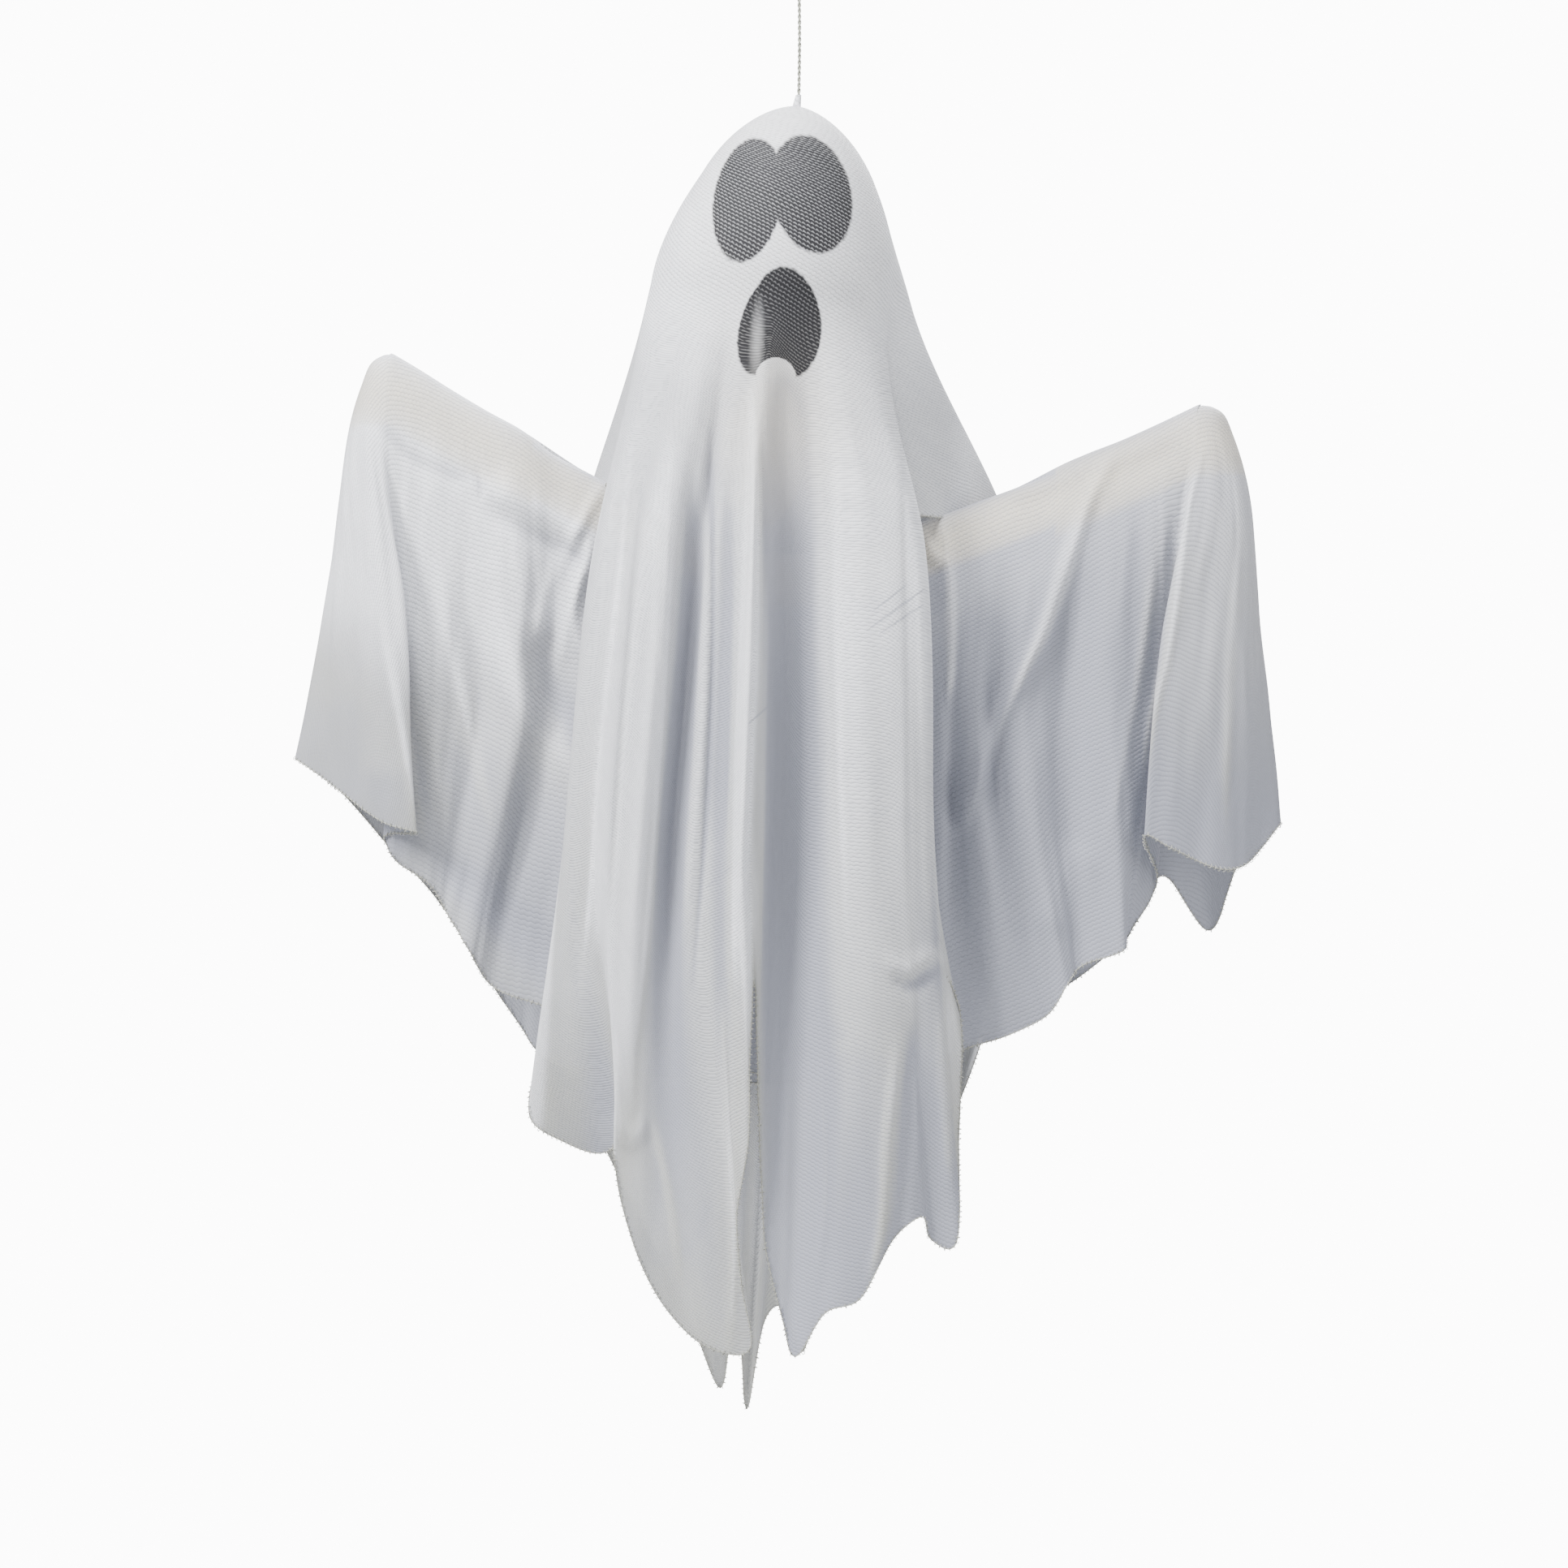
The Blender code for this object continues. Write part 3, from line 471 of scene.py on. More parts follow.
def arm_rib(place, half_x, half_y, hem_x, hem_y, hem_z, side, tip=None):
    """All points of one fold of the arm cloth, from the top of the arm to the hem."""
    if tip is None:
        axis, steep = arm_axis_at(place)
        radius = pad_radius_at(place)
        start = Vector((place, 0.0))
        out = Vector((0.0, side))
    else:
        axis, steep = arm_axis_at(tip)
        radius = FOREARM_RADIUS / MM
        turn = math.radians(place)
        start = Vector((tip, 0.0))
        out = Vector((math.cos(turn), math.sin(turn)))
    radius += CLOTH_GAP
    bends = [ARM_TOP if tip is None else TIP_TOP, *OVER_THE_ARM]
    points = []
    for bend in smooth_points([Vector(bend) for bend in bends], 4):
        spot = start + out * radius * bend.x
        points.append(from_crown(spot.x, spot.y, axis + radius * bend.y * steep))
    flank = points[-1]
    end = from_crown(hem_x, hem_y, hem_z)
    half = Vector((half_x * MM, half_y * MM, (flank.z + end.z) / 2))
    stops = [flank, half, end]
    slopes = slopes_of([points[-2], *stops])[1:]
    for row in range(1, ARM_ROWS + 1):
        height = flank.z + (end.z - flank.z) * row / ARM_ROWS
        points.append(through_heights(stops, slopes, height))
    return points


def blend_ribs(ribs, strips):
    """Add smooth strips between neighbouring ribs of a closed round, so many in each gap."""
    count = len(ribs)
    result = []
    for index, steps in enumerate(strips):
        group = [ribs[(index + shift) % count] for shift in (-1, 0, 1, 2)]
        for step in range(steps):
            result.append([catmull(*spots, step / steps) for spots in zip(*group)])
    return result


def lengths_along(points):
    """Distance of each point from the first one, along the line."""
    total = 0.0
    result = [0.0]
    for start, end in zip(points, points[1:]):
        total += (end - start).length
        result.append(total)
    return result


def cut_beside_arm(points, start_x, out):
    """Where a fold's points lay on the flat arm cloth, whose middle line lies on the arms."""
    start = Vector((start_x * MM, 0.0, 0.0))
    return [start + out * length for length in lengths_along(points)]


def share_of_line(line, spot, width):
    """How strongly a drawn line acts at a spot: 1 on it, less beside it and at its ends."""
    nearest = 1.0
    place = 0.0
    for index, (start, end) in enumerate(zip(line, line[1:])):
        run = end - start
        along = clamped((spot - start).dot(run) / run.length_squared)
        distance = (start + run * along - spot).length
        if distance < nearest:
            nearest = distance
            place = (index + along) / (len(line) - 1)
    fade = clamped((min(place, 1.0 - place) + 0.04) / LINE_FADE)
    return math.exp(-(nearest / width) ** 2) * fade


class Cloth:
    """A draped sheet as a closed round of ribs, each a line of points from top to hem."""

    def __init__(self, name, ribs, strips):
        self.name = name
        self.grid = blend_ribs(ribs, strips)
        self.cut = None
        self.painted_shading = None

    def neighbour(self, column, shift):
        return self.grid[(column + shift) % len(self.grid)]

    def lay_flat(self, middle):
        """Places on the flat cut: distance from the middle column, and distance from the top."""
        count = len(self.grid)
        downs = [lengths_along(rib) for rib in self.grid]
        self.cut = [[Vector((0.0, -down, 0.0)) for down in line] for line in downs]
        for step in range(1, count):
            column = (middle + step) % count
            before = (column - 1) % count
            for row, point in enumerate(self.grid[column]):
                width = (point - self.grid[before][row]).length
                self.cut[column][row].x = self.cut[before][row].x + width

    def normals(self):
        """Outward direction at each point."""
        rows = len(self.grid[0])
        result = []
        for column, rib in enumerate(self.grid):
            before = self.neighbour(column, -1)
            after = self.neighbour(column, 1)
            line = []
            for row in range(rows):
                down = rib[min(row + 1, rows - 1)] - rib[max(row - 1, 0)]
                across = after[row] - before[row]
                line.append(across.cross(down).normalized())
            result.append(line)
        return result

    def wrinkle(self, depth, start, full, seed, width, length):
        """Push the points in and out in soft streaks that run along the folds."""
        normals = self.normals()
        measure = len(self.grid[0]) // 2
        across = 0.0
        previous = self.grid[0][measure]
        for column, rib in enumerate(self.grid):
            across += (rib[measure] - previous).length
            previous = rib[measure]
            downs = lengths_along(rib)
            for row, down in enumerate(downs):
                strength = clamped((down - start) / (full - start))
                coarse = noise.noise(Vector((across / width, down / length, seed)))
                fine = noise.noise(Vector((across / width * 2.3, down / length * 2.1, seed + 7.0)))
                push = (coarse + 0.45 * fine) * depth * strength
                rib[row] = rib[row] + normals[column][row] * push

    def crease(self, creases, painted_shading_at):
        """Push the front out or in along drawn fold lines, and keep how much painted shade or painted
        highlight each part carries.
        """
        self.painted_shading = [[painted_shading_at(point, down) for point, down in zip(rib, lengths_along(rib))]
                      for rib in self.grid]
        for drawn, width, push, tone in creases:
            line = smooth_points([Vector((x * MM, z * MM - CROWN_DROP)) for x, z in drawn], 5)
            reach = CREASE_REACH * width * MM
            left = min(spot.x for spot in line) - reach
            right = max(spot.x for spot in line) + reach
            low = min(spot.y for spot in line) - reach
            high = max(spot.y for spot in line) + reach
            for column, rib in enumerate(self.grid):
                for row, point in enumerate(rib):
                    if point.y < CREASE_FRONT and left < point.x < right and low < point.z < high:
                        share = share_of_line(line, Vector((point.x, point.z)), width * MM)
                        self.painted_shading[column][row] += tone * share
                        rib[row] = point - Vector((0.0, push * MM * share, 0.0))

    def valleys(self, reach, deep):
        """How far each point lies behind its neighbours in the folds, from 0 to 1, for the painted fold
        shade and crest highlight.
        """
        result = []
        for column, rib in enumerate(self.grid):
            line = []
            for row, point in enumerate(rib):
                left = self.neighbour(column, -reach)[row]
                right = self.neighbour(column, reach)[row]
                behind = (abs(left.y) + abs(right.y)) / 2 - abs(point.y)
                clear = clamped((abs(point.y) - FOLDS_START) / (FOLDS_FULL - FOLDS_START))
                line.append(0.5 + clear * (clamped(behind / deep + 0.5) - 0.5))
            result.append(line)
        return result

    def close_top(self, shape, rim, right_end, left_end):
        """Join the front and back edges along the top of the arms, from one tip to the other."""
        front = [rim[column % len(rim)] for column in range(right_end, len(rim) + left_end + 1)]
        back = [rim[column] for column in range(right_end, left_end - 1, -1)]
        here, there = 0, 0
        while here < len(front) - 1 or there < len(back) - 1:
            next_front = front[here + 1].co.x if here < len(front) - 1 else -1.0
            next_back = back[there + 1].co.x if there < len(back) - 1 else -1.0
            corners = [front[here], back[there]]
            if next_front > next_back:
                here += 1
                corners.append(front[here])
            else:
                there += 1
                corners.append(back[there])
            if len(set(corners)) == 3:
                shape.faces.new(corners)

    def to_object(self, warmth, skip=None, crest=None):
        """The mesh with its cut as UV map, and as attributes its painted shade towards the hems, its
        painted shade and highlights in the folds, and the cream of foam that shows through.
        """
        shape = bmesh.new()
        near_hem = shape.verts.layers.float.new("near_hem")
        valley = shape.verts.layers.float.new("valley")
        warm = shape.verts.layers.float.new("warm")
        depths = self.valleys(FOLD_REACH, FOLD_DEPTH)
        grid = []
        places = {}
        for column, rib in enumerate(self.grid):
            downs = lengths_along(rib)
            line = []
            for row, point in enumerate(rib):
                vertex = shape.verts.new(point)
                vertex[near_hem] = math.exp((downs[row] - downs[-1]) / settings("cloth").hem_shade_reach)
                vertex[valley] = depths[column][row] + self.painted_shading[column][row]
                vertex[warm] = warmth(point)
                places[vertex] = self.cut[column][row]
                line.append(vertex)
            grid.append(line)
        for column in range(len(grid)):
            rib = grid[column]
            following = grid[(column + 1) % len(grid)]
            for row in range(len(rib) - 1):
                if skip is None or not skip(column, row):
                    shape.faces.new((rib[row], rib[row + 1], following[row + 1], following[row]))
        if crest:
            self.close_top(shape, [rib[0] for rib in grid], *crest)
        bmesh.ops.recalc_face_normals(shape, faces=shape.faces)
        flat = shape.loops.layers.uv.new("Cut")
        for face in shape.faces:
            face.smooth = True
            for loop in face.loops:
                loop[flat].uv = places[loop.vert].xy
        return object_from(self.name, shape)


def shroud_cloth():
    """The head cloth: front folds, a strip at the left side, back folds, one at the right."""
    ribs = [shroud_rib(fold) for fold in FRONT_FOLDS + BACK_FOLDS]
    strips = [STRIPS] * (len(FRONT_FOLDS) - 1) + [SIDE_STRIPS]
    strips += [2 * STRIPS] * (len(BACK_FOLDS) - 1) + [SIDE_STRIPS]
    cloth = Cloth("Head_Cloth", ribs, strips)
    cloth.lay_flat((BACK_START + BACK_END) // 2)
    return cloth


def arm_cloth():
    """The arm cloth: folds in front of the arms, round both tips and behind."""
    left_tip = ARM_LINE[0][0]
    right_tip = ARM_LINE[-1][0]
    ribs = []
    cuts = []
    for folds, side, tip in ((FRONT_ARM_FOLDS, -1, None), (LEFT_TIP_FOLDS, 0, left_tip),
                             (BACK_ARM_FOLDS, 1, None), (RIGHT_TIP_FOLDS, 0, right_tip)):
        for fold in folds:
            rib = arm_rib(*fold, side=side, tip=tip)
            ribs.append(rib)
            turn = math.radians(fold[0] if tip is not None else 90.0 * side)
            out = Vector((math.cos(turn), math.sin(turn), 0.0))
            cuts.append(cut_beside_arm(rib, fold[0] if tip is None else tip, out))
    cloth = Cloth("Arm_Cloth", ribs, [STRIPS] * len(ribs))
    cloth.cut = blend_ribs(cuts, [STRIPS] * len(ribs))
    return cloth


# Fold lines drawn on the fronts of the cloths: their points as millimetres from the string and
# below the crown, half width, push towards the viewer, and how much painted shade the line carries,
# below zero a painted highlight
HEAD_CREASES = [
    ([(-19, -120), (-18, -160), (-18.5, -215), (-21, -270), (-24, -320), (-25, -350)], 2.4, 1.8, -0.30),
    ([(-29, -135), (-28, -190), (-28.5, -250), (-31, -290)], 4.0, -1.0, 0.20),
    ([(-37, -140), (-36.5, -190), (-38, -250), (-41, -290), (-44, -330)], 2.4, 1.3, -0.15),
    ([(-43, -130), (-42, -190), (-44, -240), (-48, -300), (-51, -345)], 3.5, -1.6, 0.30),
    ([(-52, -150), (-54, -215), (-57, -250), (-61, -300), (-64, -350), (-66, -405)], 3.0, 1.4, -0.30),
    ([(-69, -190), (-72, -240), (-76, -300), (-80, -350)], 3.0, 1.0, -0.10),
    ([(28, -150), (29, -215), (31, -270), (31, -320)], 4.5, -0.8, 0.15),
    ([(46, -170), (48, -215), (49.5, -270), (51, -330)], 2.6, 1.4, -0.25),
    ([(-5, -130), (-6, -200), (-6.5, -270), (-5, -330), (-2, -380)], 8.0, -1.0, 0.22),
    ([(1, -350), (1, -400), (0, -450), (-3, -490)], 8.0, -1.5, 0.40),
    ([(-6, -104), (-5, -125), (-5, -150), (-6, -200)], 9.0, 0.0, 0.70),
    ([(-18.5, -118), (-17.5, -160), (-18, -215), (-20.5, -270), (-23.5, -320)], 1.6, 1.0, -1.0),
    ([(-14.5, -118), (-13.5, -160), (-14, -215), (-16, -270), (-18, -320)], 1.6, -0.8, 0.35),
    ([(-34.5, -135), (-33, -190), (-34, -250), (-37, -300), (-41, -350)], 1.2, -0.8, 0.45),
    ([(-49, -140), (-51, -200), (-54, -260), (-58, -320), (-62, -370)], 1.3, 0.9, -0.50),
    ([(-60, -150), (-64, -200), (-69, -260), (-73, -320)], 1.2, -0.7, 0.30),
    ([(-65, -140), (-70, -200), (-76, -260), (-80, -310), (-84, -350)], 1.2, 0.8, -0.45),
    ([(16, -140), (15, -200), (16, -260), (18, -330)], 1.6, 0.6, -0.25),
    ([(40, -130), (41, -190), (42, -250), (43, -320)], 1.4, -0.5, 0.25),
    ([(-30, -350), (-27, -400), (-25, -450), (-27, -490)], 1.4, 0.8, -0.40),
    ([(-56, -400), (-50, -430), (-46, -460)], 1.6, 0.8, -0.35),
    ([(8, -380), (10, -420), (8, -460)], 1.6, 0.8, -0.30),
    ([(22, -350), (24, -400), (22, -440), (14, -475)], 14.0, 0.0, 0.30),
    ([(38, -370), (34, -405), (32, -440), (27, -462)], 2.0, 1.6, -0.45),
    ([(44, -365), (42, -405), (39, -440), (34, -458)], 2.4, -1.4, 0.50),
    ([(56, -350), (57, -390), (58, -430)], 3.0, 1.2, -0.25),
    ([(33, -338), (42, -341), (52, -336), (58, -338)], 2.6, 1.8, -0.20),
    ([(34, -344), (43, -347.5), (54, -342)], 2.2, -1.2, 0.35),
    ([(-38, -330), (-36, -380), (-35, -430), (-36, -480)], 12.0, 0.0, 0.12),
    ([(-72, -400), (-66, -407), (-61, -405), (-60, -398)], 2.4, 1.6, 0.20),
]
ARM_CREASES = [
    ([(-121, -151), (-106, -159), (-92, -167), (-79, -174)], 7.0, 4.5, -0.80),
    ([(-124, -161), (-108, -170), (-92, -178), (-80, -185)], 4.0, -2.2, 0.35),
    ([(-167, -124), (-152, -141), (-138, -148), (-126, -152)], 4.0, -0.9, 0.60),
    ([(-126, -146), (-124.5, -152), (-124, -160)], 1.8, -1.0, 0.55),
    ([(-121, -158), (-118, -198), (-111, -228), (-97, -253), (-80, -283)], 7.5, 4.0, -0.30),
    ([(-104, -205), (-98, -228), (-88, -246), (-79, -258)], 9.0, -2.0, 0.40),
    ([(-167, -135), (-163, -170), (-159, -215), (-153, -253), (-147, -290)], 1.8, 1.3, -0.60),
    ([(-154, -150), (-153, -190), (-148, -225), (-142, -262), (-138, -290)], 4.5, 1.4, -0.22),
    ([(-76, -153), (-89, -175), (-98, -198), (-102, -218)], 2.8, 2.6, -0.35),
    ([(-77, -168), (-85, -188), (-91, -210), (-93, -228)], 2.6, 2.4, -0.30),
    ([(-83, -160), (-92, -180), (-99, -205)], 2.4, -1.8, 0.40),
    ([(-79, -178), (-86, -194), (-87, -209), (-82, -226)], 2.8, 2.2, -0.15),
    ([(-160, -262), (-158, -300)], 9.0, 0.0, 0.25),
    ([(-150, -310), (-130, -330), (-105, -352), (-85, -372)], 10.0, 1.6, -0.10),
    ([(-140, -300), (-118, -318), (-96, -338), (-78, -352)], 7.0, -1.4, 0.30),
    ([(122, -143), (111, -164), (97, -207), (83, -236), (70, -269), (61, -290)], 3.0, 3.4, -0.70),
    ([(112, -180), (98, -225), (83, -260), (72, -290)], 8.0, -1.6, 0.18),
    ([(158, -140), (152, -160), (147.5, -192), (143, -221), (136, -251), (133, -288)], 1.8, 1.2, -0.60),
    ([(169, -138), (172, -170), (169, -203), (167, -251), (166, -296)], 1.8, 0.9, -0.40),
    ([(72, -205), (76, -235), (66, -262), (60, -290)], 9.0, -1.0, 0.42),
    ([(98, -262), (92, -290), (86, -320), (82, -345)], 13.0, 0.0, 0.50),
    ([(84, -238), (96, -246), (110, -252), (124, -254)], 3.0, 0.0, 0.25),
    ([(112, -292), (104, -310), (98, -330)], 8.0, 1.5, 0.10),
    ([(60, -155), (78, -160), (98, -158), (112, -152)], 5.0, -1.0, 0.22),
    ([(-140, -170), (-136, -210), (-128, -250), (-120, -285)], 2.2, 0.9, -0.40),
    ([(-132, -165), (-129, -210), (-122, -250)], 2.6, -0.8, 0.30),
    ([(132, -165), (128, -210), (124, -255)], 2.6, -0.7, 0.25),
    ([(140, -175), (134, -215), (126, -262), (118, -300)], 2.2, 0.9, -0.40),
    ([(55, -163), (59, -188), (59.5, -221), (58, -240)], 1.8, 1.8, -0.60),
    ([(48, -172), (53, -181), (58.5, -184)], 2.0, 2.6, -0.60),
    ([(49, -181), (54, -190), (55, -205)], 3.0, -1.2, 0.45),
    ([(118, -152), (134, -146), (150, -138)], 4.0, -0.9, 0.30),
]

# Pulled threads in the head cloth, drawn as the ovals of the face are
PULLED_THREADS = [((37.8, -202.5), (0.5, 13.0), 54.0), ((39.5, -206.5), (0.4, 10.0), 56.0),
                  ((35.0, -198.5), (0.4, 8.0), 52.0), ((-14.5, -242.5), (0.4, 6.5), 48.0),
                  ((-31.0, -306.0), (0.4, 6.0), 50.0)]


class Paint:
    """A material's nodes, with short ways to add to them."""

    def __init__(self, name):
        self.material = bpy.data.materials.new(name)
        self.material.use_nodes = True
        self.tree = self.material.node_tree
        self.tree.nodes.clear()
        output = self.tree.nodes.new("ShaderNodeOutputMaterial")
        self.surface = self.tree.nodes.new("ShaderNodeBsdfPrincipled")
        self.tree.links.new(self.surface.outputs["BSDF"], output.inputs["Surface"])

    def add(self, kind, inputs=None, **fields):
        return add_node(self.tree, kind, inputs, **fields)

    def set(self, name, value):
        fill(self.tree, self.surface.inputs[name], value)

    def math(self, operation, *values):
        return self.add("ShaderNodeMath", dict(enumerate(values)), operation=operation).outputs[0]

    def plus(self, first, second):
        return self.math("ADD", first, second)

    def less(self, first, second):
        return self.math("SUBTRACT", first, second)

    def times(self, first, second):
        return self.math("MULTIPLY", first, second)

    def highest(self, values):
        result = 0.0
        for value in values:
            result = self.math("MAXIMUM", result, value)
        return result

    def turned(self, across, up, angle):
        """Both directions turned by an angle."""
        return (self.plus(self.times(across, math.cos(angle)), self.times(up, math.sin(angle))),
                self.less(self.times(up, math.cos(angle)), self.times(across, math.sin(angle))))

    def blend(self, share, first, second):
        return self.add("ShaderNodeMix", {0: share, 6: first, 7: second}, data_type="RGBA").outputs[2]

    def ease(self, value, low, high, start=0.0, end=1.0):
        """A smooth step from start to end as the value goes from low to high."""
        return self.add("ShaderNodeMapRange", dict(enumerate((value, low, high, start, end))),
                        interpolation_type="SMOOTHSTEP").outputs[0]

    def attribute(self, name):
        return self.add("ShaderNodeAttribute", attribute_name=name).outputs["Fac"]

    def parts(self, place):
        """A place and its X, Y and Z."""
        return (place, *self.add("ShaderNodeSeparateXYZ", {0: place}).outputs)

    def place(self):
        """The place on the object, and its X, Y and Z."""
        return self.parts(self.add("ShaderNodeTexCoord").outputs["Object"])

    def flat(self, uv_map):
        """The place on a UV map, and both its directions."""
        return self.parts(self.add("ShaderNodeUVMap", uv_map=uv_map).outputs["UV"])[:3]

    def noise(self, vector, scale, detail=2.0):
        return self.add("ShaderNodeTexNoise",
                        {"Vector": vector, "Scale": scale, "Detail": detail}).outputs["Fac"]

    def bump(self, height, strength, distance):
        node = self.add("ShaderNodeBump",
                        {"Height": height, "Strength": strength, "Distance": distance})
        self.set("Normal", node.outputs[0])

    def oval(self, across, up, centre, half, lean, wobble, fade=0.0):
        """An oval patch seen from the front: 1 inside, 0 outside, its edge soft as ink on knit."""
        side = self.less(across, centre[0] * MM)
        rise = self.less(up, centre[1] * MM - CROWN_DROP)
        along, height = self.turned(side, rise, -math.radians(lean))
        squares = [self.math("POWER", self.math("DIVIDE", way, size * MM), 2.0)
                   for way, size in ((along, half[0]), (height, half[1]))]
        ring = self.math("SQRT", self.plus(*squares))
        edge = self.plus(ring, self.times(wobble, OVAL_WOBBLE))
        return self.ease(edge, OVAL_EDGE[0] - fade, OVAL_EDGE[1], 1.0, 0.0)


# Printed patches seen from the front, millimetres from the string and below the crown:
# middle, half width and height, lean in degrees
EYE_OVALS = [((-19.8, -43.4), (12.6, 23.6), 8.7), ((4.8, -41.2), (14.8, 22.6), -12.0)]
MOUTH_OVALS = [((-4.6, -91.3), (12.6, 20.2), -6.0), ((-12.2, -92.2), (9.8, 19.3), 17.0)]
MOUTH_NOTCH = ((-9.0, -113.5), (7.5, 8.0), 12.0)
# Painted highlight where a lit fold crosses the mouth and thins its ink: an oval as above, and its
# strength
MOUTH_FOLD = ((-16.2, -98.5), (3.4, 19.0), 3.0)
MOUTH_FOLD_LIGHT = 0.3
# Where an oval's edge starts and ends as shares of its size, and how far it strays
OVAL_EDGE = (1.02, 1.10)
OVAL_WOBBLE = 0.10
# How deep the ink lies, and how much of it the raised loops miss
EYE_INK = (0.985, 0.27)
MOUTH_INK = (0.995, 0.12)
THREAD_SHADE = 0.6
# The print stops a few millimetres in front of the middle plane
PRINT_BACK = (-4 * MM, -1 * MM)

# Finish of the knit: gloss, and how closely it covers in its loops and loses in its gaps, and the
# painted shade in its gaps
KNIT_SHEEN = 0.15
KNIT_SPECULAR = 0.25
INK_SPECULAR_LOSS = 0.18
LOOP_COVER = 0.88
GAP_LOSS = 0.24
GAP_SHADE = 0.24
# How the lie of the cloth paints light and shade on it: the middle, the top of a crest, the depth of
# a valley, and the most of the painted crest highlight
LEVEL_LIE = 0.5
CREST_LIE = -0.15
VALLEY_LIE = 1.1
CREST_HIGHLIGHT = 0.9


def knit_loops(paint, flat, across, down, stitch, bias):
    """Height of the knitted loops: arches in slanted rows that stray a little."""
    sway = paint.times(paint.less(paint.noise(flat, 14.0), 0.5), 12.0 * MM)
    loose = paint.times(paint.less(paint.noise(flat, 300.0), 0.5), 0.8 * MM)
    across, down = paint.turned(across, down, math.radians(bias))
    across = paint.plus(across, loose)
    down = paint.plus(down, paint.plus(sway, loose))
    column = paint.math("FRACT", paint.math("DIVIDE", across, stitch * 0.8))
    lean = paint.math("ABSOLUTE", paint.less(column, 0.5))
    row = paint.plus(paint.math("DIVIDE", down, stitch), paint.times(lean, 0.5))
    arch = paint.math("SINE", paint.times(paint.math("FRACT", row), math.pi))
    return paint.times(arch, paint.less(1.0, paint.math("POWER", lean, 2.0)))


def printed_face(paint, flat, spot, loop, colour, cover, look):
    """Colour and cover of the knit with the pulled threads and the printed face on it."""
    side, depth, up = spot
    wobble = paint.less(paint.noise(flat, 400.0), 0.5)
    in_front = paint.ease(depth, *PRINT_BACK, 1.0, 0.0)
    missed = paint.ease(loop, 0.7, 0.95)

    def patches(ovals):
        return paint.highest([paint.oval(side, up, *oval, wobble) for oval in ovals])

    def inked(patch, ink):
        return paint.times(patch, paint.less(ink[0], paint.times(missed, ink[1])))

    eyes = inked(patches(EYE_OVALS), EYE_INK)
    mouth = paint.math("MINIMUM", patches(MOUTH_OVALS), paint.less(1.0, patches([MOUTH_NOTCH])))
    # Painted highlight: the lit fold thins the mouth's ink
    lit = paint.times(paint.oval(side, up, *MOUTH_FOLD, wobble, 1.0), MOUTH_FOLD_LIGHT)
    mouth = paint.times(inked(mouth, MOUTH_INK), paint.less(1.0, lit))
    ink = paint.times(paint.math("MAXIMUM", eyes, mouth), in_front)
    pulled = paint.times(paint.times(patches(PULLED_THREADS), in_front), THREAD_SHADE)
    paint.set("Sheen Weight", paint.times(paint.less(1.0, ink), KNIT_SHEEN))
    paint.set("Specular IOR Level", paint.less(KNIT_SPECULAR, paint.times(ink, INK_SPECULAR_LOSS)))
    colour = paint.blend(ink, paint.blend(pulled, colour, look.shade), look.ink)
    return colour, paint.math("MAXIMUM", cover, ink)


def knit_material(name, look, white, bias, printed):
    """Sheer knit: loops with pale gaps, painted greyer towards the hems, painted shade in the folds and
    painted highlights on their crests, cream where foam shows through, and the printed face where it
    is.
    """
    paint = Paint(name)
    flat, across, down = paint.flat("Cut")
    loop = knit_loops(paint, flat, across, down, look.stitch, bias)
    place, *spot = paint.place()
    # Painted shade: greyer towards the hems, in patches
    near_hem = paint.times(paint.attribute("near_hem"),
                           paint.ease(paint.noise(place, 28.0), 0.2, 0.7, 0.75, 1.0))
    colour = paint.blend(near_hem, white, look.single)
    lie = paint.attribute("valley")
    # Painted highlight on the crests of the folds and painted shade in their valleys
    colour = paint.blend(paint.ease(lie, LEVEL_LIE, CREST_LIE, 0.0, CREST_HIGHLIGHT), colour, look.crest)
    colour = paint.blend(paint.ease(lie, LEVEL_LIE, VALLEY_LIE), colour, look.shade)
    colour = paint.blend(paint.attribute("warm"), colour, look.warm)
    gap = paint.ease(loop, 0.15, 0.45, 1.0, 0.0)
    uneven = paint.ease(paint.noise(flat, 60.0, 3.0), 0.3, 0.7, 0.0, 0.10)
    speckle = paint.ease(paint.noise(flat, 750.0), 0.35, 0.65, 0.0, 0.20)
    # Random tone over the knit, and painted shade in the gaps between its loops
    between = paint.plus(paint.plus(uneven, speckle), paint.times(gap, GAP_SHADE))
    colour = paint.blend(between, colour, look.shade)
    cover = paint.less(LOOP_COVER, paint.times(gap, GAP_LOSS))
    paint.set("Sheen Weight", KNIT_SHEEN)
    paint.set("Specular IOR Level", KNIT_SPECULAR)
    if printed:
        colour, cover = printed_face(paint, flat, spot, loop, colour, cover, look)
    paint.set("Base Color", colour)
    paint.set("Alpha", cover)
    paint.set("Roughness", 0.58)
    paint.set("Sheen Roughness", 0.4)
    paint.bump(loop, 0.5, 0.25 * MM)
    return paint.material


def thread_material(name, colour):
    """Thin spun thread with darker twists."""
    paint = Paint(name)
    place = paint.place()[0]
    fibre = paint.noise(place, 900.0, 3.0)
    # Painted shade: darker patches for the shade between the twisted fibres
    shade = [part * 0.6 for part in colour]
    paint.set("Base Color", paint.blend(paint.ease(fibre, 0.3, 0.7), shade, colour))
    paint.set("Roughness", 0.8)
    paint.set("Sheen Weight", 0.2)
    paint.bump(fibre, 0.6, 0.2 * MM)
    return paint.material


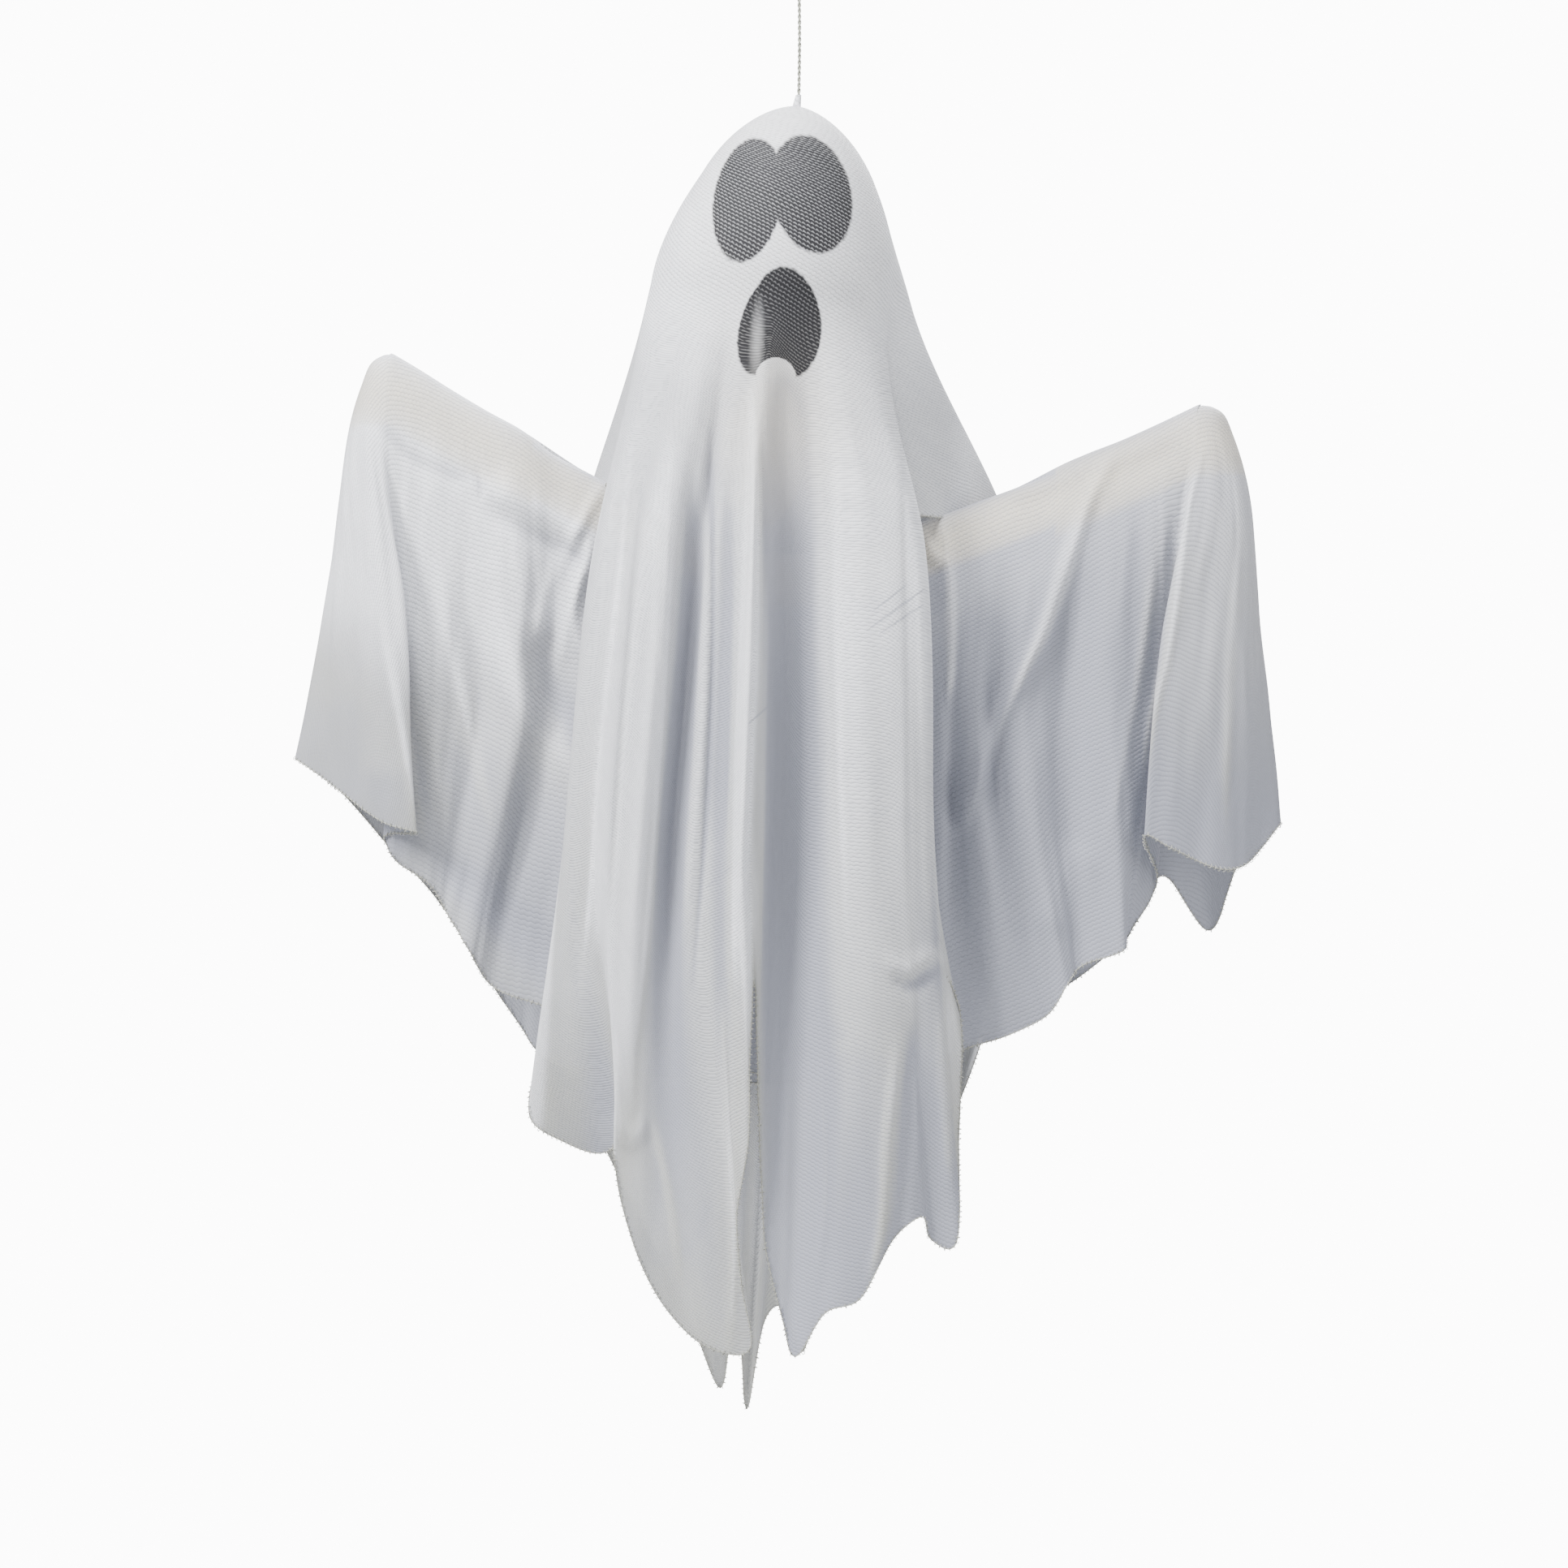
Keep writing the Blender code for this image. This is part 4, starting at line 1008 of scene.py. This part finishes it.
def foam_material(name):
    """Cream foam with fine open cells."""
    paint = Paint(name)
    place = paint.place()[0]
    cells = paint.add("ShaderNodeTexVoronoi", {"Vector": place, "Scale": 650.0})
    # The darker cell middles are painted shade in the open pores
    pores = paint.ease(cells.outputs["Distance"], 0.0, 0.6)
    tone = paint.noise(place, 35.0)
    cream = paint.blend(paint.ease(tone, 0.3, 0.7), (0.80, 0.72, 0.55), (0.86, 0.80, 0.66))
    paint.set("Base Color", paint.blend(pores, (0.62, 0.54, 0.40), cream))
    paint.set("Roughness", 0.9)
    paint.bump(pores, 0.6, 0.4 * MM)
    return paint.material


def wire_material(name):
    """Drawn steel wire with faint lengthwise scratches."""
    paint = Paint(name)
    place = paint.place()[0]
    scratch = paint.noise(place, 1500.0, 4.0)
    paint.set("Base Color", paint.blend(scratch, (0.42, 0.42, 0.43), (0.58, 0.58, 0.60)))
    paint.set("Metallic", 1.0)
    paint.set("Roughness", paint.ease(scratch, 0.2, 0.8, 0.28, 0.5))
    paint.bump(scratch, 0.15, 0.05 * MM)
    return paint.material


def finish_with(item, finish):
    """Give the object this one material."""
    item.data.materials.clear()
    item.data.materials.append(finish)


def to_plain_mesh(item):
    """Turn the evaluated object into a plain mesh and drop its modifiers."""
    graph = bpy.context.evaluated_depsgraph_get()
    mesh = bpy.data.meshes.new_from_object(item.evaluated_get(graph))
    mesh.name = item.name
    item.modifiers.clear()
    item.data = mesh
    if not mesh.polygons:
        raise RuntimeError(item.name + " came out empty")
    return item


def hem_tree(finish, sizes):
    """Geometry Nodes: an overlocked edge of slanted thread loops round a rolled bead."""
    tree = bpy.data.node_groups.new("Overlocked Edge", "GeometryNodeTree")
    face = tree.interface
    face.new_socket("Edge", in_out="INPUT", socket_type="NodeSocketGeometry")
    for name, default in sizes.items():
        socket = face.new_socket(name, in_out="INPUT", socket_type="NodeSocketFloat")
        socket.default_value = default
        socket.min_value = 0.0
    seed = face.new_socket("Seed", in_out="INPUT", socket_type="NodeSocketInt")
    seed.default_value = 11
    face.new_socket("Stitches", in_out="OUTPUT", socket_type="NodeSocketGeometry")

    def add(kind, inputs, **fields):
        return add_node(tree, kind, inputs, **fields)

    def circle(sides, radius):
        ring = add("GeometryNodeCurvePrimitiveCircle", {"Resolution": sides, "Radius": radius})
        return ring.outputs["Curve"]

    def swept(curve, profile):
        sweep = add("GeometryNodeCurveToMesh", {"Curve": curve, "Profile Curve": profile})
        return sweep.outputs["Mesh"]

    start = tree.nodes.new("NodeGroupInput").outputs
    line = add("GeometryNodeMeshToCurve", {"Mesh": start["Edge"]}).outputs["Curve"]
    along = {"Curve": line, "Length": start["Spacing"]}
    spots = add("GeometryNodeCurveToPoints", along, mode="LENGTH")
    loop = swept(circle(6, start["Radius"]), circle(3, start["Thread"]))
    tilt = add("FunctionNodeRandomValue", {"Min": (0.15, -0.25, -0.4), "Max": (0.65, 0.25, 0.4),
                                           "Seed": start["Seed"]}, data_type="FLOAT_VECTOR")
    turned = add("FunctionNodeRotateRotation", {"Rotation": spots.outputs["Rotation"],
                                                "Rotate By": tilt.outputs["Value"]},
                 rotation_space="LOCAL")
    size = add("FunctionNodeRandomValue", {2: 0.75, 3: 1.35, "Seed": start["Seed"]},
               data_type="FLOAT")
    placed = add("GeometryNodeInstanceOnPoints",
                 {"Points": spots.outputs["Points"], "Instance": loop,
                  "Rotation": turned.outputs["Rotation"], "Scale": size.outputs[1]})
    bead_line = add("GeometryNodeResampleCurve", along, mode="LENGTH").outputs["Curve"]
    thick = add("ShaderNodeMath", {0: start["Thread"], 1: 1.6}, operation="MULTIPLY").outputs[0]
    joined = add("GeometryNodeJoinGeometry", {"Geometry": placed.outputs["Instances"]})
    tree.links.new(swept(bead_line, circle(5, thick)), joined.inputs["Geometry"])
    real = add("GeometryNodeRealizeInstances", {"Geometry": joined.outputs["Geometry"]})
    coat = add("GeometryNodeSetMaterial",
               {"Geometry": real.outputs["Geometry"], "Material": finish})
    add("NodeGroupOutput", {"Stitches": coat.outputs["Geometry"]})
    return tree


def overlock(name, points, look, finish, seed):
    """Overlocked edge along a closed line of points."""
    shape = bmesh.new()
    spots = [shape.verts.new(point) for point in points]
    for index, spot in enumerate(spots):
        shape.edges.new((spot, spots[(index + 1) % len(spots)]))
    item = object_from(name, shape)
    sizes = {"Spacing": look.spacing, "Radius": look.radius, "Thread": look.thread / 2}
    stitches = item.modifiers.new("Overlock", "NODES")
    stitches.node_group = hem_tree(finish, sizes)
    inputs = {**sizes, "Seed": seed}
    for socket in stitches.node_group.interface.items_tree:
        if socket.name in inputs:
            stitches[socket.identifier] = inputs[socket.name]
    return to_plain_mesh(item)


def shroud_hem(cloth):
    """The head cloth's edge: front hem, up and down the left side, back hem, the right side."""
    grid = cloth.grid
    line = []
    for first, last, row, following in ((0, FRONT_COLUMNS, LEFT_OPENING, BACK_START),
                                        (BACK_START, BACK_END, RIGHT_OPENING, len(grid))):
        line += [rib[-1] for rib in grid[first:last + 1]]
        line += grid[last][row:-1][::-1]
        line += [rib[row] for rib in grid[last + 1:following]]
        line += grid[following % len(grid)][row:-1]
    return line


# Small wrinkles: where they start and are full down the cloth, seed, width and length
HEAD_WRINKLES = (150 * MM, 420 * MM, 3.0, 14 * MM, 110 * MM)
ARM_WRINKLES = (14 * MM, 60 * MM, 17.0, 8 * MM, 60 * MM)
ARM_WRINKLE_SHARE = 0.9
# Cream foam that shows through: under the chin, x and z from the crown, and over the arms
CHIN = Vector((-6 * MM, -128 * MM - CROWN_DROP))
CHIN_REACH = 26 * MM
CHIN_WARMTH = 0.45
PAD_REACH = 1.2
PAD_WARMTH = 0.8


def head_light_and_shade(point, down):
    """Painted light and shade: lighter where the white head lies behind the cloth and on the right
    cape, darker low down and on the middle right, most where the low right leaf hangs.

    Each share fades over a length down the cloth or a distance from the string.
    """
    on_head = clamped((145 * MM - down) / (50 * MM))
    low = clamped((down - 380 * MM) / (120 * MM))
    right = clamped(0.5 + point.x / (20 * MM))
    middle = clamped((down - 230 * MM) / (120 * MM))
    cape = clamped(point.x / (18 * MM) - 3.1) * (1.0 - low)
    return low * (0.10 + 0.50 * right) + 0.40 * middle * right - 0.75 * on_head - 0.75 * cape


def arm_light_and_shade(point, down):
    """Painted shade and light: darker towards the right and the low, inner part, where nothing lies
    behind the one sheer layer, lighter on the upper outer left and the upper right flap.

    Each share fades over a length down the cloth or a distance from the string.
    """
    low = clamped((down - 45 * MM) / (130 * MM))
    inner = clamped(1.5 - abs(point.x) / (100 * MM)) * clamped(abs(point.x) / (25 * MM) - 1.3)
    outer = clamped(-point.x / (60 * MM) - 1.2) * clamped(1.6 - low * 2.0)
    right = clamped(0.5 + point.x / (60 * MM))
    flap = clamped(point.x / (40 * MM) - 3.2) * clamped(1.8 - low)
    shaded = 0.02 + 0.34 * right + low * (0.30 + 0.25 * right + inner * (0.30 + 0.45 * right))
    return shaded - 0.85 * outer - 0.35 * flap


class GhostOperator:
    """What all the operators share."""
    bl_options = {"REGISTER", "UNDO"}

    @classmethod
    def poll(cls, context):
        return context.scene is not None


class GHOST_OT_head_cloth(GhostOperator, bpy.types.Operator):
    """Drape the head cloth with its printed face and stitch its edge"""
    bl_idname = "ghost.head_cloth"
    bl_label = "Head Cloth"

    def execute(self, context):
        look = settings("cloth")
        cloth = shroud_cloth()
        cloth.crease(HEAD_CREASES, head_light_and_shade)
        cloth.wrinkle(look.wrinkle, *HEAD_WRINKLES)

        def skip(column, row):
            if column >= BACK_END:
                return row >= RIGHT_OPENING
            return FRONT_COLUMNS <= column < BACK_START and row >= LEFT_OPENING

        def warmth(point):
            away = Vector((point.x - CHIN.x, (point.z - CHIN.y) * 0.8))
            return CHIN_WARMTH * math.exp(-(away.length / CHIN_REACH) ** 2)

        item = cloth.to_object(warmth, skip=skip)
        finish_with(item, knit_material("Head Cloth Knit", look, look.white, look.bias, True))
        thread = thread_material("Head Cloth Thread", look.single)
        hem = overlock("Head_Cloth_Edge", shroud_hem(cloth), settings("hem"), thread, 5)
        for piece in (item, hem):
            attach(piece, "root")
        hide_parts("shroud", "left_eye_print", "right_eye_print", "mouth_print")
        return {"FINISHED"}


class GHOST_OT_arm_cloth(GhostOperator, bpy.types.Operator):
    """Drape the arm cloth over both arms and stitch its edge"""
    bl_idname = "ghost.arm_cloth"
    bl_label = "Arm Cloth"

    def execute(self, context):
        look = settings("cloth")
        cloth = arm_cloth()
        cloth.crease(ARM_CREASES, arm_light_and_shade)
        cloth.wrinkle(look.wrinkle * ARM_WRINKLE_SHARE, *ARM_WRINKLES)

        def warmth(point):
            pad = pad_radius_at(point.x / MM) * MM
            below = (arm_line_at(point.x).z - point.z) / (pad * PAD_REACH)
            return PAD_WARMTH * math.sqrt(max(0.0, 1.0 - below * below))

        item = cloth.to_object(warmth, crest=(RIGHT_END, LEFT_END))
        finish_with(item, knit_material("Arm Cloth Knit", look, look.arm_shaded_white, look.arm_bias, False))
        thread = thread_material("Arm Cloth Thread", look.single)
        line = [rib[-1] for rib in cloth.grid]
        hem = overlock("Arm_Cloth_Edge", line, settings("hem"), thread, 8)
        for piece in (item, hem):
            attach(piece, "root")
        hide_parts("arm_cloth")
        return {"FINISHED"}


def tube(shape, path, radius, sides, closed=False):
    """Add a tube along a path to the bmesh."""
    count = len(path)
    side = Vector((0.3, 1.0, 0.1))
    rings = []
    for index, point in enumerate(path):
        if closed:
            along = path[(index + 1) % count] - path[index - 1]
        else:
            along = path[min(index + 1, count - 1)] - path[max(index - 1, 0)]
        along.normalize()
        side = (side - along * side.dot(along)).normalized()
        other = along.cross(side)
        ring = []
        for turn in range(sides):
            angle = 2 * math.pi * turn / sides
            ring.append(shape.verts.new(point + (side * math.cos(angle) + other * math.sin(angle))
                                        * radius))
        rings.append(ring)
    for index in range(count if closed else count - 1):
        ring, following = rings[index], rings[(index + 1) % count]
        shift = 0
        if closed and index == count - 1:
            gaps = [(following[turn].co - ring[0].co).length for turn in range(sides)]
            shift = gaps.index(min(gaps))
        for turn in range(sides):
            nearer = (turn + 1) % sides
            shape.faces.new((ring[turn], ring[nearer], following[(nearer + shift) % sides],
                             following[(turn + shift) % sides]))
    if not closed:
        shape.faces.new(list(reversed(rings[0])))
        shape.faces.new(rings[-1])


# Two strands of a string: their distance from its middle and their radius, as shares of its diameter
STRAND_OFFSET = 0.24
STRAND_RADIUS = 0.27


def twisted(shape, path, diameter, lay, closed=False):
    """Two strands twisted round each other along a path."""
    lengths = lengths_along(path)
    total = lengths[-1] + ((path[0] - path[-1]).length if closed else 0.0)
    turns = max(1, round(total / lay))
    side = Vector((0.0, 1.0, 0.0))
    for strand in (0.0, math.pi):
        line = []
        for index, point in enumerate(path):
            along = path[min(index + 1, len(path) - 1)] - path[max(index - 1, 0)]
            along.normalize()
            out = (side - along * side.dot(along)).normalized()
            other = along.cross(out)
            angle = strand + 2 * math.pi * turns * lengths[index] / total
            line.append(point + (out * math.cos(angle) + other * math.sin(angle))
                        * diameter * STRAND_OFFSET)
        tube(shape, line, diameter * STRAND_RADIUS, 6, closed)


STRING_STEPS = 110
STRING_BOW = 0.4 * MM
LOOP_STEPS = 90
LOOP_HALF_WIDTH = 4.5 * MM
KNOT_STEPS = 60
KNOT_RISE = 2.1 * MM
KNOT_DEPTH = 0.96 * MM


class GHOST_OT_string(GhostOperator, bpy.types.Operator):
    """Twist the hanging string, its knot and its loop"""
    bl_idname = "ghost.string"
    bl_label = "Hanging String"

    def execute(self, context):
        look = settings("string")
        finish = thread_material("String Fibre", look.colour)
        low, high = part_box("hanging_string")
        loop_low, loop_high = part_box("hang_loop")
        bottom = Vector((0.0, 0.0, low.z + 0.2 * MM))
        top = Vector((0.0, 0.0, high.z))
        path = []
        for step in range(STRING_STEPS + 1):
            share = step / STRING_STEPS
            bow = Vector((STRING_BOW * math.sin(math.pi * share), 0.0, 0.0))
            path.append(bottom.lerp(top, share) + bow)
        shape = bmesh.new()
        twisted(shape, path, look.diameter, look.lay)
        string = self.finish_mesh("Hanging_String", shape, finish)
        knot_middle = loop_low.z + KNOT_RISE
        shape = bmesh.new()
        ring = []
        for step in range(LOOP_STEPS):
            turn = 2 * math.pi * step / LOOP_STEPS
            rise = 0.5 + 0.5 * math.cos(turn)
            across = LOOP_HALF_WIDTH * math.sin(turn) * (0.35 + 0.65 * rise)
            height = knot_middle + (loop_high.z - knot_middle - look.diameter * 0.55) * rise
            ring.append(Vector((across, 0.0, height)))
        twisted(shape, ring, look.diameter, look.lay, True)
        knot = []
        for step in range(KNOT_STEPS):
            turn = 2 * math.pi * step / KNOT_STEPS
            radius = (1.05 + 0.45 * math.cos(3 * turn)) * MM
            knot.append(Vector((radius * math.cos(2 * turn), KNOT_DEPTH * math.sin(3 * turn),
                                knot_middle + radius * math.sin(2 * turn) * 1.15)))
        tube(shape, knot, look.diameter * 0.42, 8, True)
        loop = self.finish_mesh("Hang_Loop", shape, finish)
        for piece in (string, loop):
            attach(piece, "root")
        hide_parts("hanging_string")
        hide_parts("hang_loop")
        return {"FINISHED"}

    def finish_mesh(self, name, shape, finish):
        bmesh.ops.recalc_face_normals(shape, faces=shape.faces)
        for face in shape.faces:
            face.smooth = len(face.verts) == 4
        item = object_from(name, shape)
        finish_with(item, finish)
        return item


class GHOST_OT_inside(GhostOperator, bpy.types.Operator):
    """Finish the foam head, torso and arms and the wires that show through the cloth"""
    bl_idname = "ghost.inside"
    bl_label = "Foam and Wires"

    def execute(self, context):
        foam = foam_material("Cream Foam")
        wire = wire_material("Steel Wire")
        for name in ("head_form", "torso_pad", "left_forearm_pad", "left_upper_arm_pad",
                     "right_forearm_pad", "right_upper_arm_pad"):
            finish_with(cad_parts[name], foam)
        for name in ("stem_wire", "arm_wire"):
            finish_with(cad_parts[name], wire)
        return {"FINISHED"}


FLOOR_RADIUS = 5.0
SENSOR_WIDTH = 36.0
# Middle of the picture, x and z, and the place that the lights point at
PICTURE_MIDDLE = (-0.0057, -0.338)
LIT_PLACE = (0.0, 0.0, -0.33)
WORLD_LIGHT = 0.27
BACKDROP_LIGHT = 12.0
# Name, place, width in metres and power in watts
LIGHTS = [("Key Light", (-1.6, -1.3, 1.0), 0.7, 118.0), ("Fill Light", (2.0, -0.9, 0.3), 1.1, 40.0),
          ("Top Light", (-0.45, -0.75, 1.3), 0.6, 56.0), ("Back Light", (0.4, 1.6, 0.8), 1.2, 70.0)]


class GHOST_OT_stage(GhostOperator, bpy.types.Operator):
    """Set the pale floor, the soft lights and the camera"""
    bl_idname = "ghost.stage"
    bl_label = "Stage"

    def execute(self, context):
        look = settings("stage")
        shape = bmesh.new()
        bmesh.ops.create_circle(shape, cap_ends=True, segments=64, radius=FLOOR_RADIUS)
        bmesh.ops.translate(shape, verts=shape.verts, vec=(0.0, 0.0, -look.floor_drop))
        floor = object_from("Floor", shape)
        paint = Paint("Pale Floor")
        place = paint.place()[0]
        grain = paint.noise(place, 3.0)
        paint.set("Base Color", paint.blend(grain, (0.80, 0.80, 0.79), (0.84, 0.84, 0.83)))
        paint.set("Roughness", 0.7)
        finish_with(floor, paint.material)
        context.scene.world = self.soft_world()
        for light in LIGHTS:
            self.soft_light(*light)
        lens = bpy.data.cameras.new("Camera")
        lens.sensor_width = SENSOR_WIDTH
        lens.lens = SENSOR_WIDTH * look.camera_distance / look.frame_width
        camera = bpy.data.objects.new("Camera", lens)
        camera.location = (PICTURE_MIDDLE[0], -look.camera_distance, PICTURE_MIDDLE[1])
        camera.rotation_euler = (math.pi / 2, 0.0, 0.0)
        context.scene.collection.objects.link(camera)
        context.scene.camera = camera
        return {"FINISHED"}

    def soft_world(self):
        """White behind the figure, and a softer bluish white that lights it."""
        world = bpy.data.worlds.new("Soft White")
        world.use_nodes = True
        tree = world.node_tree
        light = tree.nodes["Background"]
        fill(tree, light.inputs["Color"], (0.86, 0.91, 1.0))
        fill(tree, light.inputs["Strength"], WORLD_LIGHT)
        backdrop = add_node(tree, "ShaderNodeBackground",
                            {"Color": (1.0, 1.0, 1.0), "Strength": BACKDROP_LIGHT})
        path = add_node(tree, "ShaderNodeLightPath").outputs
        direct = add_node(tree, "ShaderNodeMath", {0: path["Transparent Depth"], 1: 0.5},
                          operation="LESS_THAN")
        seen = add_node(tree, "ShaderNodeMath", {0: direct.outputs[0], 1: path["Is Camera Ray"]},
                        operation="MULTIPLY")
        mixed = add_node(tree, "ShaderNodeMixShader", {0: seen.outputs[0], 1: light.outputs[0],
                                                       2: backdrop.outputs[0]})
        fill(tree, tree.nodes["World Output"].inputs["Surface"], mixed.outputs[0])
        return world

    def soft_light(self, name, place, size, power):
        light = bpy.data.lights.new(name, "AREA")
        light.size = size
        light.energy = power
        item = bpy.data.objects.new(name, light)
        item.location = place
        aim = Vector(LIT_PLACE) - Vector(place)
        item.rotation_euler = aim.to_track_quat("-Z", "Y").to_euler()
        bpy.context.scene.collection.objects.link(item)


class GHOST_PT_panel(bpy.types.Panel):
    """Sizes and finishes of the ghost, with a button for each group of pieces"""
    bl_label = "Hanging Ghost"
    bl_idname = "GHOST_PT_panel"
    bl_space_type = "VIEW_3D"
    bl_region_type = "UI"
    bl_category = "Ghost"

    def draw(self, context):
        layout = self.layout
        for group, operators in GROUPS:
            box = layout.box()
            look = getattr(context.scene, "ghost_" + group)
            for name in type(look).__annotations__:
                box.prop(look, name)
            for operator in operators:
                box.operator(operator)
        layout.operator("ghost.inside")


GROUPS = (
    ("cloth", ("ghost.head_cloth", "ghost.arm_cloth")),
    ("hem", ()),
    ("string", ("ghost.string",)),
    ("stage", ("ghost.stage",)),
)
SETTINGS = {"cloth": ClothSettings, "hem": HemSettings, "string": StringSettings,
            "stage": StageSettings}
CLASSES = (ClothSettings, HemSettings, StringSettings, StageSettings, GHOST_OT_head_cloth,
           GHOST_OT_arm_cloth, GHOST_OT_string, GHOST_OT_inside, GHOST_OT_stage, GHOST_PT_panel)


def register():
    for item in CLASSES:
        bpy.utils.register_class(item)
    for name, group in SETTINGS.items():
        setattr(bpy.types.Scene, "ghost_" + name, bpy.props.PointerProperty(type=group))


def unregister():
    for name in SETTINGS:
        delattr(bpy.types.Scene, "ghost_" + name)
    for item in reversed(CLASSES):
        bpy.utils.unregister_class(item)


def main():
    register()
    bpy.ops.ghost.inside()
    bpy.ops.ghost.head_cloth()
    bpy.ops.ghost.arm_cloth()
    bpy.ops.ghost.string()
    bpy.ops.ghost.stage()


if __name__ == "__main__":
    main()
